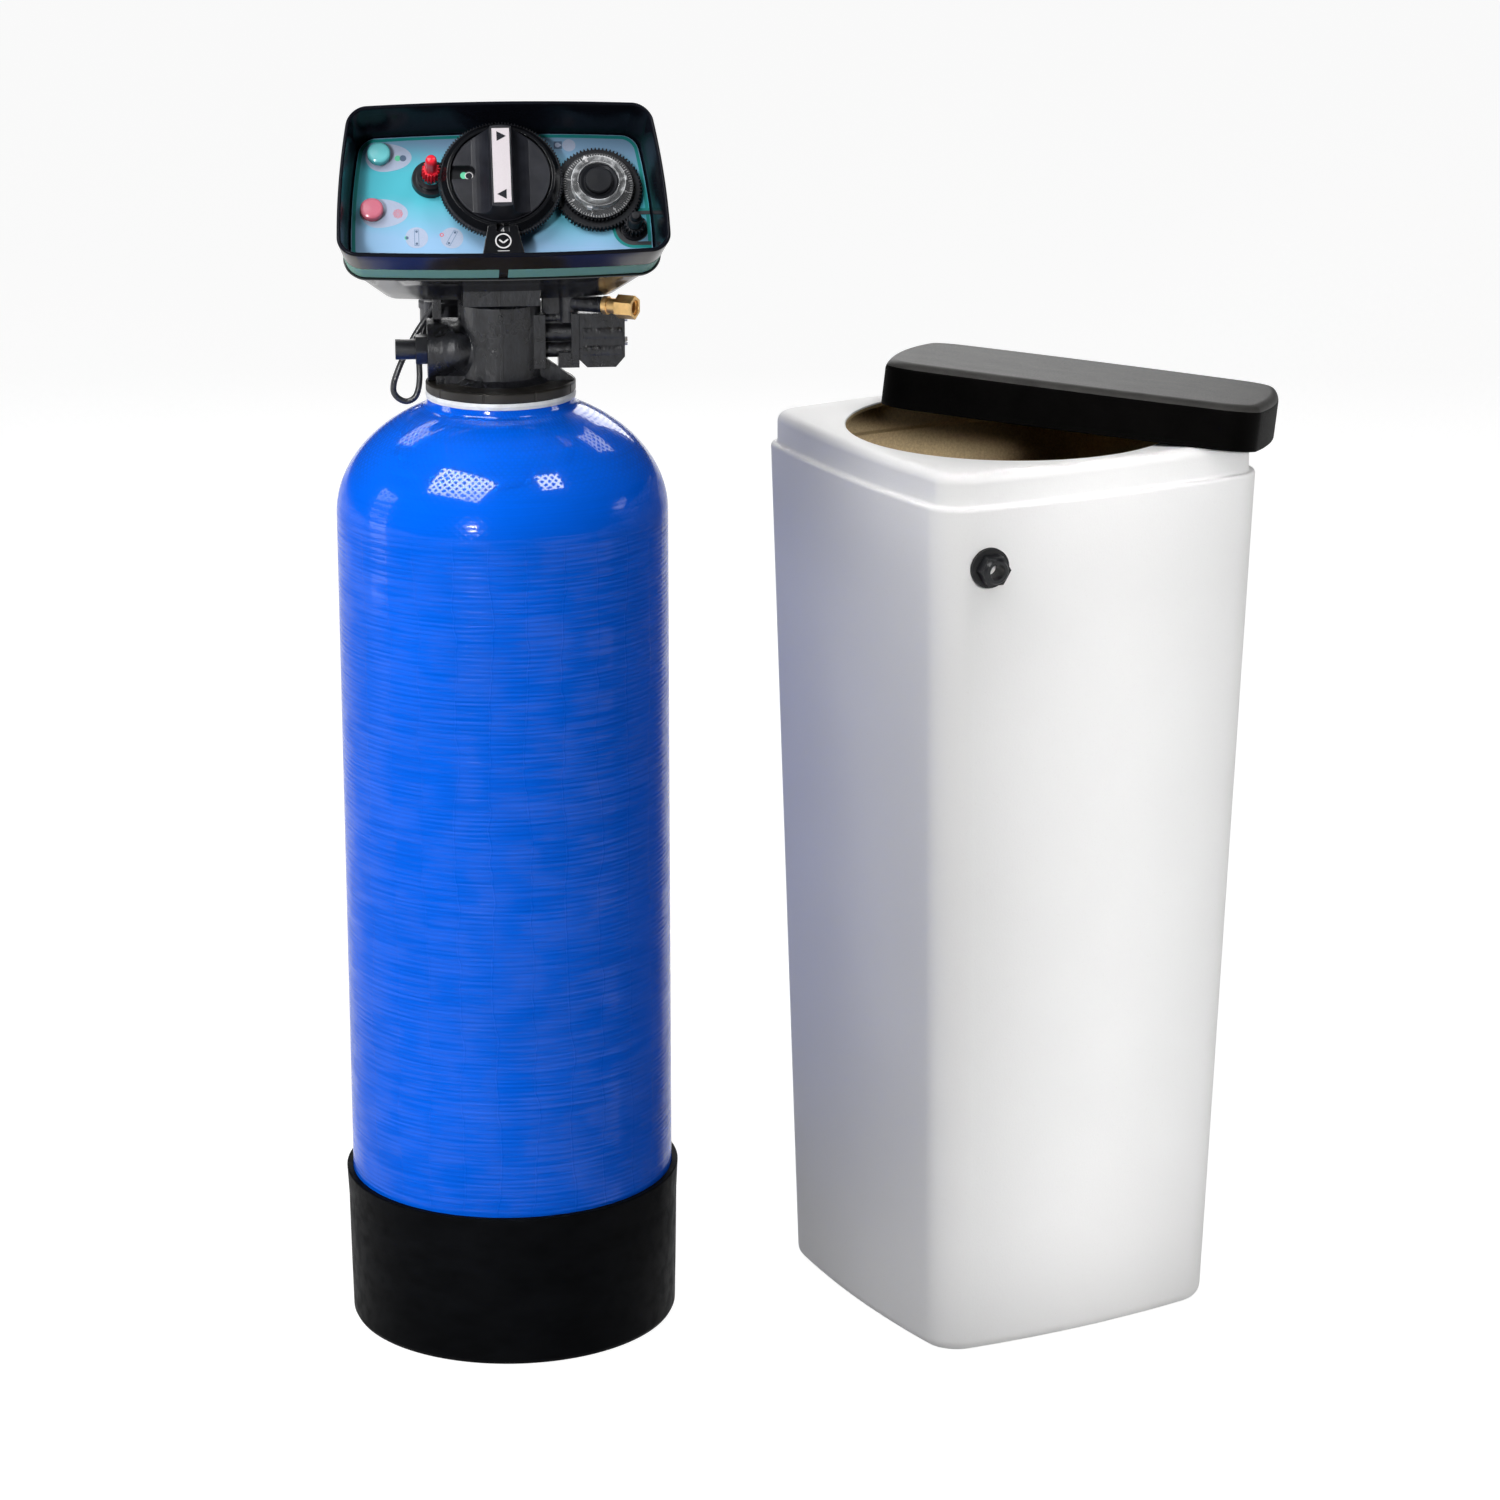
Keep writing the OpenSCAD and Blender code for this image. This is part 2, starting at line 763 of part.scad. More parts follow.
module injector_cover() {
    color("black") turned()
        difference() {
            union() {
                translate([0, side_y + 9, 0])
                    rotate([90, 0, 0])
                        linear_extrude(18)
                            polygon([
                                [flange_x, injector_foot + 6], [flange_x + 6, injector_foot],
                                [cover_end - 9, injector_foot], [cover_end - 2, injector_foot + 8],
                                [cover_end - 2, injector_head - 2], [cover_end - 4, injector_head],
                                [flange_x, injector_head]
                            ]);
                translate([flange_x + 3, side_y, mid_barrel_z])
                    rod_right(10, cover_end - flange_x - 7);
                translate([flange_x + 3, side_y, low_barrel_z])
                    rod_right(9.8, cover_end - flange_x - 7);
            }
            for (z = [injector_foot + 18.5, injector_head - 5])
                translate([flange_x - over, side_y, z])
                    rod_right(1.9, cover_end - flange_x);
        }
}

module injector_screws() {
    color("silver") turned()
        for (z = [injector_foot + 18.5, injector_head - 5])
            translate([flange_x - 9, side_y, z])
                difference() {
                    union() {
                        rod_right(1.6, cover_end - flange_x + 7);
                        translate([cover_end - flange_x + 7, 0, 0])
                            rod_right(3.4, 2.4);
                    }
                    translate([cover_end - flange_x + 8.2, -4, -0.5])
                        cube([3, 8, 1]);
                }
}

module brine_valve() {
    color("black")
        difference() {
            union() {
                turned() {
                    translate([brine_x, side_y, brine_foot])
                        cylinder(r = 7.6, h = brine_top - brine_foot - 3);
                    translate([brine_x, side_y, brine_top - 3])
                        cylinder(r = 9, h = 3);
                    translate([brine_x - 17, side_y - 5, brine_top - 3])
                        cube([17, 10, 3]);
                }
                in_brine()
                    rod_right(6.4, fitting_at);
            }
            in_brine()
                translate([fitting_at - 6, 0, 0])
                    rod_right(4.2, 6 + over);
        }
}

module brine_fitting() {
    color("gold")
        in_brine()
            translate([fitting_at, 0, 0])
                difference() {
                    union() {
                        translate([-5, 0, 0])
                            rod_right(4, 6);
                        rod_right(7, 4);
                        translate([4, 0, 0])
                            rod_right(5.9, nut_end - fitting_at - 6);
                    }
                    translate([6, 0, 0])
                        rod_right(tube_r, nut_end - fitting_at);
                }
}

module brine_nut() {
    color("gold")
        in_brine()
            translate([nut_at, 0, 0])
                difference() {
                    rotate([0, 90, 0])
                        cylinder(r = 9.3, h = nut_end - nut_at, $fn = 6);
                    translate([-over, 0, 0])
                        rod_right(6, nut_end - nut_at + 2 * over);
                }
}

// Outer half sizes of the front cover at a height z over the panel
function front_part(z) = (z - seam_z) / (front_z - seam_z);
function front_ring(z, less) =
    at_z(keystone(pillow(seam_a + (front_a - seam_a) * front_part(z) - less,
                         seam_b + (front_b - seam_b) * front_part(z) - less,
                         head_corner - less, head_bow)), z);

module front_cover() {
    color("black")
        in_head()
            loft([
                front_ring(seam_z, 0), front_ring(front_z - 3, 0), front_ring(front_z - 0.8, 0.4),
                front_ring(front_z, 1.4), front_ring(front_z - 0.4, cover_wall - 0.5),
                front_ring(front_z - 2, cover_wall), front_ring(seam_z, cover_wall)
            ], frame = true);
}

function rear_part(z) = (seam_z - z) / rear_depth;
function rear_ring(z, less) =
    at_z(keystone(pillow(seam_a + (rear_a - seam_a) * rear_part(z) - less,
                         seam_b + (rear_b - seam_b) * rear_part(z) - less, head_corner - less, head_bow)),
         z, rear_lift * rear_part(z));

module rear_cover() {
    color("black")
        difference() {
            in_head()
                loft([
                    rear_ring(rear_z, 7), rear_ring(rear_z + 2, 2), rear_ring(rear_z + 7, 0),
                    rear_ring(seam_z - lip_t, 0), rear_ring(seam_z - lip_t, -lip_out),
                    rear_ring(seam_z, -lip_out), rear_ring(seam_z, cover_wall),
                    rear_ring(rear_z + 9, cover_wall), rear_ring(rear_z + cover_wall, 8)
                ]);
            turned() {
                translate([-yoke_w / 2 - yoke_play, yoke_front - 1.5 * yoke_play, yoke_top - yoke_cut])
                    cube([yoke_w + 2 * yoke_play, head_h, yoke_cut + 2 * yoke_play]);
                translate([0, 0, barrel_top])
                    cylinder(r = rod_r + rod_play, h = rod_top + piston_travel - barrel_top);
            }
        }
}

module back_plate() {
    color("dimgray")
        difference() {
            union() {
                in_head() {
                    translate([0, 0, plate_z])
                        linear_extrude(plate_t)
                            polygon(keystone(pillow(panel_a - 3, panel_b - 3, 10, head_bow)));
                    on_panel(knob_pos, plate_z)
                        cylinder(r = shoulder_r, h = day_z - gap - plate_z);
                    on_panel(knob_pos, plate_z)
                        cylinder(r = boss_r, h = disc_z - plate_z);
                }
                intersection() {
                    in_head()
                        for (side = [-1, 1])
                            translate([side * (cheek_in + cheek_t / 2) - cheek_t / 2, 0, 0])
                                rotate([90, 0, 90])
                                    linear_extrude(cheek_t)
                                        polygon([
                                            [-cheek_low, plate_z + 1], [22, plate_z + 1],
                                            [16, -cheek_step], [-4, -cheek_deep],
                                            [-cheek_deep, -cheek_deep], [-cheek_deep, -cheek_step]
                                        ]);
                    turned()
                        translate([-head_w / 2, -head_w / 2, yoke_top])
                            cube([head_w, yoke_back + head_w / 2, head_w]);
                }
            }
            in_head() {
                on_panel(knob_pos, plate_z - over)
                    cylinder(r = spindle_r + run, h = spindle_way);
                on_panel(time_pos, plate_z - over)
                    cylinder(r = time_shaft_r + run, h = plate_t + 2 * over);
                on_panel(wheel_pos, plate_z - over)
                    cylinder(r = wheel_pin_r + run, h = plate_t + 2 * over);
                on_panel(meter_pos, plate_z - over)
                    cylinder(r = meter_shaft_r + run, h = plate_t + 2 * over);
                for (pos = [green_pos, red_pos])
                    on_panel(pos, plate_z - over)
                        cylinder(r = stem_r + gap, h = plate_t + 2 * over);
            }
        }
}

module control_panel() {
    color("lightblue")
        in_head()
            difference() {
                translate([0, 0, -panel_t])
                    linear_extrude(panel_t)
                        polygon(keystone(pillow(panel_a, panel_b, 11, head_bow)));
                on_panel(knob_pos, -panel_t - over)
                    cylinder(r = shoulder_r + 0.5, h = panel_t + 2 * over);
                on_panel(time_pos, -panel_t - over)
                    cylinder(r = time_shaft_r + 1, h = panel_t + 2 * over);
                on_panel(wheel_pos, -panel_t - over)
                    cylinder(r = wheel_pin_r + 0.5, h = panel_t + 2 * over);
                on_panel(meter_pos, -panel_t - over)
                    cylinder(r = meter_collar_r + 1.5, h = panel_t + 2 * over);
                for (pos = [green_pos, red_pos])
                    on_panel(pos, -panel_t - over)
                        cylinder(r = button_r + button_play, h = panel_t + 2 * over);
            }
}

module pointer_cover() {
    reach = knob_pos.y + panel_b - 1;
    leg_in = reach - 5;
    color("black")
        in_head()
            on_panel(knob_pos)
                difference() {
                    union() {
                        rotate_extrude()
                            polygon([
                                [ring_in, ring_z], [ring_out, ring_z], [ring_out, ring_z + 1],
                                [ring_in + 2.2, ring_z + ring_t], [ring_in, ring_z + ring_t]
                            ]);
                        translate([0, 0, ring_z])
                            linear_extrude(ring_t - 0.8)
                                polygon([
                                    [-11, -ring_in - 2], [11, -ring_in - 2],
                                    [15.5, -reach], [-15.5, -reach]
                                ]);
                        translate([-14, -reach, 0])
                            cube([28, reach - leg_in, ring_z + over]);
                    }
                    translate([-4.5, -day_pitch_r + 1.2, ring_z - over])
                        cube([9, 6.5, ring_t + 2 * over]);
                }
}

module day_gear() {
    color("dimgray")
        in_head()
            on_panel(knob_pos, day_z)
                difference() {
                    rotate(time_angle)
                        gear(day_teeth, day_module, day_t);
                    translate([0, 0, -over])
                        cylinder(r = boss_r + run, h = day_t + 2 * over);
                }
}

module cycle_disc() {
    color("white")
        in_head()
            on_panel(knob_pos, disc_z)
                ring(knob_r - 0.2, spindle_r + gap, disc_t);
}

// Hollow flank of the knob's grip, from its foot to its top
function grip_flank(t) = [8.4 + 13 * pow(1 - t, 2), grip_z + (grip_h - 4) * t];
function mirrored(p) = [-p.x, p.y];

module knob() {
    color("black")
        in_head()
            on_panel(knob_pos)
                difference() {
                    union() {
                        intersection() {
                            rotate_extrude()
                                polygon([
                                    [0, knob_z], [knob_r - 0.6, knob_z], [knob_r, knob_z + 0.6],
                                    [knob_r, grip_z - 0.6], [knob_r - 0.6, grip_z],
                                    [knob_r - 4, grip_top], [0, grip_top]
                                ]);
                            rotate([90, 0, 0])
                                translate([0, 0, -knob_r])
                                    linear_extrude(2 * knob_r)
                                        polygon(concat(
                                            [[-knob_r, knob_z - over], [knob_r, knob_z - over]],
                                            [[knob_r, grip_z], [23, grip_z]],
                                            [for (i = [0:8]) grip_flank(i / 8)],
                                            [[7.8, grip_top], [-7.8, grip_top]],
                                            [for (i = [8:-1:0]) mirrored(grip_flank(i / 8))],
                                            [[-23, grip_z], [-knob_r, grip_z]]));
                        }
                        translate([0, 0, -14])
                            cylinder(r = spindle_r, h = knob_z + 16);
                    }
                    translate([-knob_r - over, -2.4, knob_z - over])
                        cube([13.5, 11, knob_t + 2 * over]);
                    translate([-knob_r + 12.5, 3.1, knob_z - over])
                        cylinder(r = 5.5, h = knob_t + 2 * over);
                }
}

module knob_label() {
    color("white")
        in_head()
            on_panel(knob_pos, grip_top)
                translate([-6.5, -knob_r + 7, 0])
                    cube([13, 2 * knob_r - 14, 0.6]);
}

module drive_gear() {
    color("ivory")
        in_head()
            on_panel(knob_pos, -14)
                difference() {
                    gear(40, 1.05, 5);
                    translate([0, 0, -over])
                        cylinder(r = spindle_r + run, h = 8);
                }
}

module time_collar() {
    color("black")
        in_head()
            on_panel(time_pos)
                difference() {
                    union() {
                        cylinder(r1 = 14.6, r2 = 14, h = 5);
                        cylinder(r = 10.8, h = 8.4);
                    }
                    translate([0, 0, -over])
                        cylinder(r = time_pitch_r + 1.3, h = 12);
                }
}

module time_shaft() {
    color("silver")
        in_head()
            on_panel(time_pos, -20)
                cylinder(r = time_shaft_r, h = 20 + time_foot + 7);
}

module time_pinion() {
    teeth_h = 11.8;
    color("red")
        in_head()
            on_panel(time_pos, time_foot)
                difference() {
                    union() {
                        rotate(time_angle + 180 + 180 / time_teeth)
                            gear(time_teeth, day_module, teeth_h);
                        rotate_extrude()
                            polygon([
                                [0, 0], [4.4, 0], [4.4, 25.5], [4, 27.8], [3, 29.3], [0, 30]
                            ]);
                    }
                    translate([0, 0, -over])
                        cylinder(r = time_shaft_r + run, h = 7.2 + over);
                }
}

module wheel_pin() {
    color("silver")
        in_head()
            on_panel(wheel_pos, plate_z) {
                cylinder(r = wheel_pin_r, h = hub_top - 1 - plate_z);
                translate([0, 0, plate_t])
                    cylinder(r = wheel_pin_r + 0.4, h = wheel_z - gap + panel_t);
            }
}

module program_wheel() {
    color("dimgray")
        in_head()
            on_panel(wheel_pos)
                difference() {
                    union() {
                        translate([0, 0, wheel_z])
                            rotate(meter_angle)
                                gear(wheel_teeth, wheel_module, wheel_t);
                        translate([0, 0, wheel_z + wheel_t])
                            cylinder(r = 23, h = rim_z - wheel_z - wheel_t);
                        translate([0, 0, rim_z])
                            gear(rim_teeth, rim_module, rim_t);
                        translate([0, 0, dial_z])
                            cylinder(r = hub_r, h = hub_top - dial_z);
                    }
                    translate([0, 0, wheel_z - over])
                        cylinder(r = wheel_pin_r + run, h = 40);
                }
}

module capacity_dial() {
    color("black")
        in_head()
            on_panel(wheel_pos, dial_z)
                ring(dial_r, hub_r + 0.1, dial_t);
}

module capacity_pointer() {
    color("lightcyan")
        in_head()
            on_panel(wheel_pos, pointer_z) {
                ring(dial_r, hub_r + gap, pointer_t);
                ring(glass_out, glass_in, glass_top - pointer_z);
            }
}

module pointer_hub() {
    foot = pointer_z + pointer_t;
    color("black")
        in_head()
            on_panel(wheel_pos)
                rotate_extrude()
                    polygon([
                        [hub_r + run, foot], [glass_in - 0.1, foot], [glass_in - 0.1, glass_top - 2],
                        [glass_in - 1.6, glass_top - 1], [glass_in - 4, glass_top - 2.4],
                        [hub_r + run, glass_top - 2.4]
                    ]);
}

module pointer_cap() {
    foot = glass_top - 2.4;
    color("black")
        in_head()
            on_panel(wheel_pos, foot)
                rotate_extrude()
                    polygon([[0, 0], [cap_r, 0], [cap_r, 3.6], [cap_r - 0.8, 4.5], [0, 4.9]]);
}

module meter_collar() {
    color("black")
        in_head()
            on_panel(meter_pos, -panel_t)
                difference() {
                    union() {
                        cylinder(r = meter_collar_r, h = panel_t);
                        cylinder(r = meter_collar_r - 3, h = panel_t + 1);
                    }
                    translate([0, 0, -over])
                        cylinder(r = meter_shaft_r + 1, h = 10);
                }
}

module meter_pinion() {
    color("black")
        in_head()
            on_panel(meter_pos) {
                translate([0, 0, 1.3])
                    rotate(meter_angle + 180 + 180 / meter_teeth)
                        gear(meter_teeth, wheel_module, 7);
                rotate_extrude()
                    polygon([
                        [0, -12], [meter_shaft_r, -12], [meter_shaft_r, 2], [5.6, 2],
                        [5.6, 12], [5, 18], [3.5, 19], [3.5, 23], [2.9, 24], [0, 24.3]
                    ]);
            }
}

module push_button(pos) {
    in_head()
        on_panel(pos)
            rotate_extrude()
                polygon([
                    [0, -14], [stem_r, -14], [stem_r, button_foot], [button_r, button_foot],
                    [button_r, button_top - 2], [button_r - 0.7, button_top - 0.7],
                    [button_r - 2.2, button_top], [0, button_top + 0.3]
                ]);
}

module green_button() {
    color("teal")
        push_button(green_pos);
}

module red_button() {
    color("red")
        push_button(red_pos);
}

module timer_motor() {
    color("silver")
        in_head()
            on_panel(motor_pos, plate_z - 26)
                cylinder(r = motor_r, h = 26);
}

function tank_a(z) = foot_a + (shoulder_a - foot_a) * z / shoulder_z;
function tank_ring(z, less) =
    at_z(pillow(tank_a(min(z, shoulder_z)) - less, tank_a(min(z, shoulder_z)) - less,
                max(tank_corner - less, 6), tank_bow), z);

module brine_tank() {
    like = pillow(shoulder_a, shoulder_a, tank_corner, tank_bow);
    top_less = band_step + top_round;
    color("white")
        difference() {
            in_tank()
                loft(concat(
                    [for (t = [0:30:90]) tank_ring(foot_round * (1 - cos(t)), foot_round * (1 - sin(t)))],
                    [tank_ring(shoulder_z * 0.5, 0), tank_ring(shoulder_z - 3, 0)],
                    [tank_ring(shoulder_z - 0.8, 0.8), tank_ring(shoulder_z, 2.6)],
                    [tank_ring(shoulder_z + 0.6, band_step)],
                    [for (t = [0:30:90])
                        tank_ring(tank_h - top_round * (1 - sin(t)), top_less - top_round * cos(t))],
                    [round_like(like, mouth_r + 1.5, tank_h), round_like(like, mouth_r, tank_h - 1.5)],
                    [round_like(like, mouth_r, tank_h - tank_wall)],
                    [tank_ring(tank_h - tank_wall, top_less - 2)],
                    [tank_ring(tank_h - top_round, band_step + tank_wall)],
                    [tank_ring(shoulder_z - 4, band_step + tank_wall), tank_ring(shoulder_z - 8, tank_wall)],
                    [tank_ring(foot_round + 4, tank_wall), tank_ring(tank_wall + 2, tank_wall + 3)],
                    [tank_ring(tank_wall, tank_wall + 8)]));
            in_overflow()
                translate([0, 0, -30])
                    cylinder(r = overflow_bore + 3.3, h = 60);
        }
}

// Frame on the tank's front face: Z out of the face at the overflow fitting
face_lean = atan((shoulder_a - foot_a) / shoulder_z);
face_out = tank_a(overflow_z) + tank_bow * (1 - pow(overflow_x / tank_a(overflow_z), 2));
face_turn = atan(-2 * tank_bow * overflow_x / pow(tank_a(overflow_z), 2));
module in_overflow() {
    in_tank()
        translate([overflow_x, -face_out, overflow_z])
            rotate([90 + face_lean, 0, 0])
                rotate([0, -face_turn, 0])
                    children();
}

module overflow_washer() {
    color("black")
        in_overflow()
            translate([0, 0, 0.5])
                ring(washer_r, overflow_bore + 3.2, 3);
}

module overflow_fitting() {
    color("black")
        in_overflow()
            difference() {
                union() {
                    translate([0, 0, 3.5])
                        cylinder(r = 12.4, h = 10, $fn = 6);
                    translate([0, 0, -14])
                        cylinder(r = overflow_bore + 3, h = 19);
                    translate([0, 0, 13.5])
                        cylinder(r1 = 10.2, r2 = 8.6, h = 2);
                }
                translate([0, 0, -15])
                    cylinder(r = overflow_bore, h = 40);
            }
}

module overflow_nut() {
    color("black")
        in_overflow()
            translate([0, 0, -12])
                difference() {
                    cylinder(r = 13, h = 12 - tank_wall - 0.6, $fn = 6);
                    translate([0, 0, -over])
                        cylinder(r = overflow_bore + 3.1, h = 20);
                }
}

module tank_lid() {
    color("black")
        in_tank()
            translate([rest_front.x, rest_front.y, tank_h + lid_lift])
                rotate(a = lid_tilt, v = [rest_line.x, rest_line.y, 0])
                    translate([lid_at.x - rest_front.x, lid_at.y - rest_front.y, 0])
                        rotate(lid_turn)
                            loft(concat(
                                [lid_ring(skirt_depth, lid_wall + 3), lid_ring(skirt_depth - 3, lid_wall)],
                                [lid_ring(0.6, lid_wall), lid_ring(0, lid_wall - 0.6)],
                                [lid_ring(0, 0.6), lid_ring(0.6, 0)],
                                [for (t = [0:30:90])
                                    lid_ring(lid_h - lid_round * (1 - sin(t)), lid_round * (1 - cos(t)))]));
}
function lid_ring(z, less) = at_z(pillow(lid_a - less, lid_a - less, lid_corner - less, tank_bow), z);

module brine_well() {
    color("ivory")
        in_tank()
            difference() {
                translate([well_at.x, well_at.y, well_foot])
                    cylinder(r = well_r, h = well_top - well_foot);
                translate([well_at.x, well_at.y, well_foot + 4])
                    cylinder(r = well_r - 2.5, h = well_top);
                for (turn = [0:60:300])
                    translate([well_at.x, well_at.y, well_hole_z])
                        rotate([90, 0, turn])
                            translate([0, 0, well_r - well_hole_r])
                                cylinder(r = well_hole_r, h = 2 * well_hole_r);
            }
}

module well_cap() {
    color("black")
        in_tank()
            translate([well_at.x, well_at.y, well_top - cap_skirt])
                difference() {
                    cylinder(r = well_r + 2.5, h = cap_skirt + cap_deck);
                    translate([0, 0, -over])
                        cylinder(r = well_r + 0.2, h = cap_skirt + over);
                }
}

module float() {
    color("ivory")
        in_tank()
            translate([well_at.x, well_at.y, well_foot + 4])
                difference() {
                    union() {
                        translate([0, 0, float_z])
                            cylinder(r = float_r, h = float_h);
                        cylinder(r = 4, h = float_z + float_h + float_rod);
                        cylinder(r = 16, h = 5);
                    }
                    translate([0, 0, float_z + float_h - 8])
                        ring(float_r - 6, 8, 8 + over);
                }
}

vessel_shell();
base_boot();
neck_insert();
resin_bed();
riser_tube();
lower_strainer();
upper_strainer();
adapter_base();
valve_body();
seal_cage();
piston();
end_plug();
yoke_block();
meter_dome();
meter_cable();
cable_gland();
support_strap();
drain_hex();
drain_nut();
injector_body();
injector_cover();
injector_screws();
brine_valve();
brine_fitting();
brine_nut();
front_cover();
rear_cover();
back_plate();
control_panel();
pointer_cover();
day_gear();
cycle_disc();
knob();
knob_label();
drive_gear();
time_collar();
time_shaft();
time_pinion();
wheel_pin();
program_wheel();
capacity_dial();
capacity_pointer();
pointer_hub();
pointer_cap();
meter_collar();
meter_pinion();
green_button();
red_button();
timer_motor();
brine_tank();
tank_lid();
overflow_fitting();
overflow_washer();
overflow_nut();
brine_well();
well_cap();
float();
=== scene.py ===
"""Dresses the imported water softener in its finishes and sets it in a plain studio."""

from math import acos, atan, cos, hypot, pi, radians, sin, sqrt, tau

import bmesh
import bpy
from bpy.props import FloatProperty, FloatVectorProperty, IntProperty, PointerProperty
from bpy.types import Operator, Panel, PropertyGroup
from mathutils import Matrix, Vector


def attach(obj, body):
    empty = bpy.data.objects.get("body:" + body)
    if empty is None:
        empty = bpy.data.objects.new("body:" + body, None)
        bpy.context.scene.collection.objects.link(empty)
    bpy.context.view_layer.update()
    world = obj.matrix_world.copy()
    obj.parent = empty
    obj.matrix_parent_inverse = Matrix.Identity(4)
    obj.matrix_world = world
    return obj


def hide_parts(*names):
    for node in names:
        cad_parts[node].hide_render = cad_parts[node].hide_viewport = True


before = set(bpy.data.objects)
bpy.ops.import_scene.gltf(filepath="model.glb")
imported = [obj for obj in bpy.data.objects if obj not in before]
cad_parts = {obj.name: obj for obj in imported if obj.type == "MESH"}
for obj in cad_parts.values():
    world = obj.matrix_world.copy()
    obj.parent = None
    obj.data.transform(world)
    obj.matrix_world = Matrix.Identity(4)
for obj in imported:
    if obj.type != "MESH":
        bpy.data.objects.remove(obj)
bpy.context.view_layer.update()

bl_info = {
    "name": "Water Softener Finish",
    "version": (1, 0, 0),
    "blender": (4, 5, 0),
    "location": "View3D > Sidebar > Softener",
    "description": "Skins, print and finishes of a wound resin vessel, its timer head and its brine tank",
    "category": "Object",
}

MM = 0.001

# Sizes of the part's source that the skins and prints sit on, in millimetres
VESSEL_R, VESSEL_WALL, DOME_RISE, FOOT_RISE = 128.5, 5.0, 95.0, 70.0
NECK_TOP, NECK_R, NECK_BORE = 759.0, 57.0, 48.0
VALVE_Z = 767.0
HEAD_A, HEAD_B, SEAM_A, SEAM_B = 118.0, 60.0, 111.5, 56.7
HEAD_BOW, HEAD_CORNER, HEAD_KEY, COVER_WALL = 3.0, 14.0, 0.048, 3.0
SEAM_Z, FRONT_Z, REAR_Z = -4.0, 44.0, -76.0
REAR_A, REAR_B, REAR_LIFT, LIP_T, LIP_OUT = 88.0, 40.0, -5.0, 3.0, 2.0
LIP_ROUND, REAR_ROUND = 2.4, 7
PANEL_A, PANEL_B = 107.9, 53.1
KNOB_AT, KNOB_R, GRIP_TOP = (0.0, 10.5), 37.0, 43.1
DISC_TOP, RING_TOP, DAY_TOP = 19.6, 24.2, 18.5
WHEEL_AT, DIAL_TOP, POINTER_TOP = (73.0, 7.6), 10.6, 11.9
GLASS_IN, GLASS_OUT, DIAL_R = 15.2, 20.5, 26.4
METER_AT = (99.33, -22.69)
GREEN_AT, RED_AT = (-90.0, 39.0), (-96.5, -6.5)
SHOULDER_A, FOOT_A, TANK_H, SHOULDER_Z = 144.0, 126.0, 719.0, 694.0
TANK_BOW, TANK_CORNER, TANK_WALL, MOUTH_R = 8.5, 24.0, 4.0, 129.5
BAND_STEP, TOP_ROUND, FOOT_ROUND = 5.0, 8.0, 10.0
TANK_X, TANK_Y = 396.742, 56.0
LID_H, LID_WALL, SKIRT, LID_ROUND, LID_AT = 36.0, 4.0, 24.0, 8.0, (91.0, 38.5)
LID_GAP = 1.5

# Sizes of the prints, the stripe and the cable, in millimetres
METER_HOLE, STRIPE_GAP, STRIPE_LOW, CABLE_R = 11.0, 3.2, -30.0, 2.4
# How far a print reaches into its face
INK_ROOT = 0.05
# A font's size over the height of its figures
FIGURE = 1.38


def spot(x, y, z):
    return Matrix.Translation((x * MM, y * MM, z * MM))


def turn(degrees, axis):
    return Matrix.Rotation(radians(degrees), 4, axis)


def arc(x, y, r, start, sweep, count):
    """Points on an arc through a sweep in radians, with both ends."""
    turns = [start + sweep * i / count for i in range(count + 1)]
    return [(x + r * cos(a), y + r * sin(a)) for a in turns]


def steps(sweep, count):
    """Cosines and sines of equal steps through a sweep in radians."""
    return arc(0, 0, 1, 0, sweep, count)


def heading(degrees):
    return Vector((cos(radians(degrees)), sin(radians(degrees))))


def shade(tone, share):
    return [c * share for c in tone]


def tint(name, description, default):
    """A colour setting."""
    return FloatVectorProperty(
        name=name, description=description, subtype="COLOR", size=3, min=0, max=1, default=default)


def watts(name, description, default):
    """A lamp's power as a setting."""
    return FloatProperty(name=name, description=description + " in watts", min=0, default=default)


# The valve's turn on the vessel, the timer head's frame and the brine tank's frame
VALVE = turn(5, "Z")
HEAD = VALVE @ spot(0, -55, VALVE_Z + 146) @ turn(56, "X")
TANK = spot(TANK_X, TANK_Y, 0) @ turn(28, "Z")


class VesselLook(PropertyGroup):
    """Sizes and colours of the wound vessel."""

    blue: tint("Vessel blue", "Colour of the wound shell", (0.0006, 0.118, 0.80))
    strand: FloatProperty(
        name="Strand width", description="Width of one wound strand", unit="LENGTH",
        min=0.0005, max=0.01, default=0.0038)
    segments: IntProperty(
        name="Segments", description="Faces round the shell", min=48, max=256, default=160)


class HeadLook(PropertyGroup):
    """Sizes and colours of the timer head."""

    sky: tint("Panel blue", "Pale blue of the panel's print", (0.25, 0.44, 0.66))
    teal: tint("Panel teal", "Teal in the middle of the panel's print", (0.07, 0.44, 0.54))
    border: tint("Border teal", "Line round the panel's print", (0.015, 0.27, 0.26))
    stripe: tint("Stripe teal", "Stripe under the front cover", (0.24, 0.50, 0.40))
    ticks: IntProperty(
        name="Dial ticks", description="Fine ticks round the capacity dial", min=20, max=160, default=80)
    ink: FloatProperty(
        name="Ink thickness", description="Thickness of the printed shapes", unit="LENGTH",
        min=0.00002, max=0.0005, default=0.00012)


class TankLook(PropertyGroup):
    """Sizes and colours of the brine tank."""

    white: tint("Tank white", "Colour of the moulded tank", (0.86, 0.855, 0.85))
    # The tank's dark inside is painted shade: a dark colour where the inside lies in shadow
    inside: tint("Tank inside", "Colour of the tank's dark inside", (0.36, 0.27, 0.15))
    grain: FloatProperty(
        name="Grain", description="Size of the moulded grain", unit="LENGTH",
        min=0.0003, max=0.005, default=0.0014)


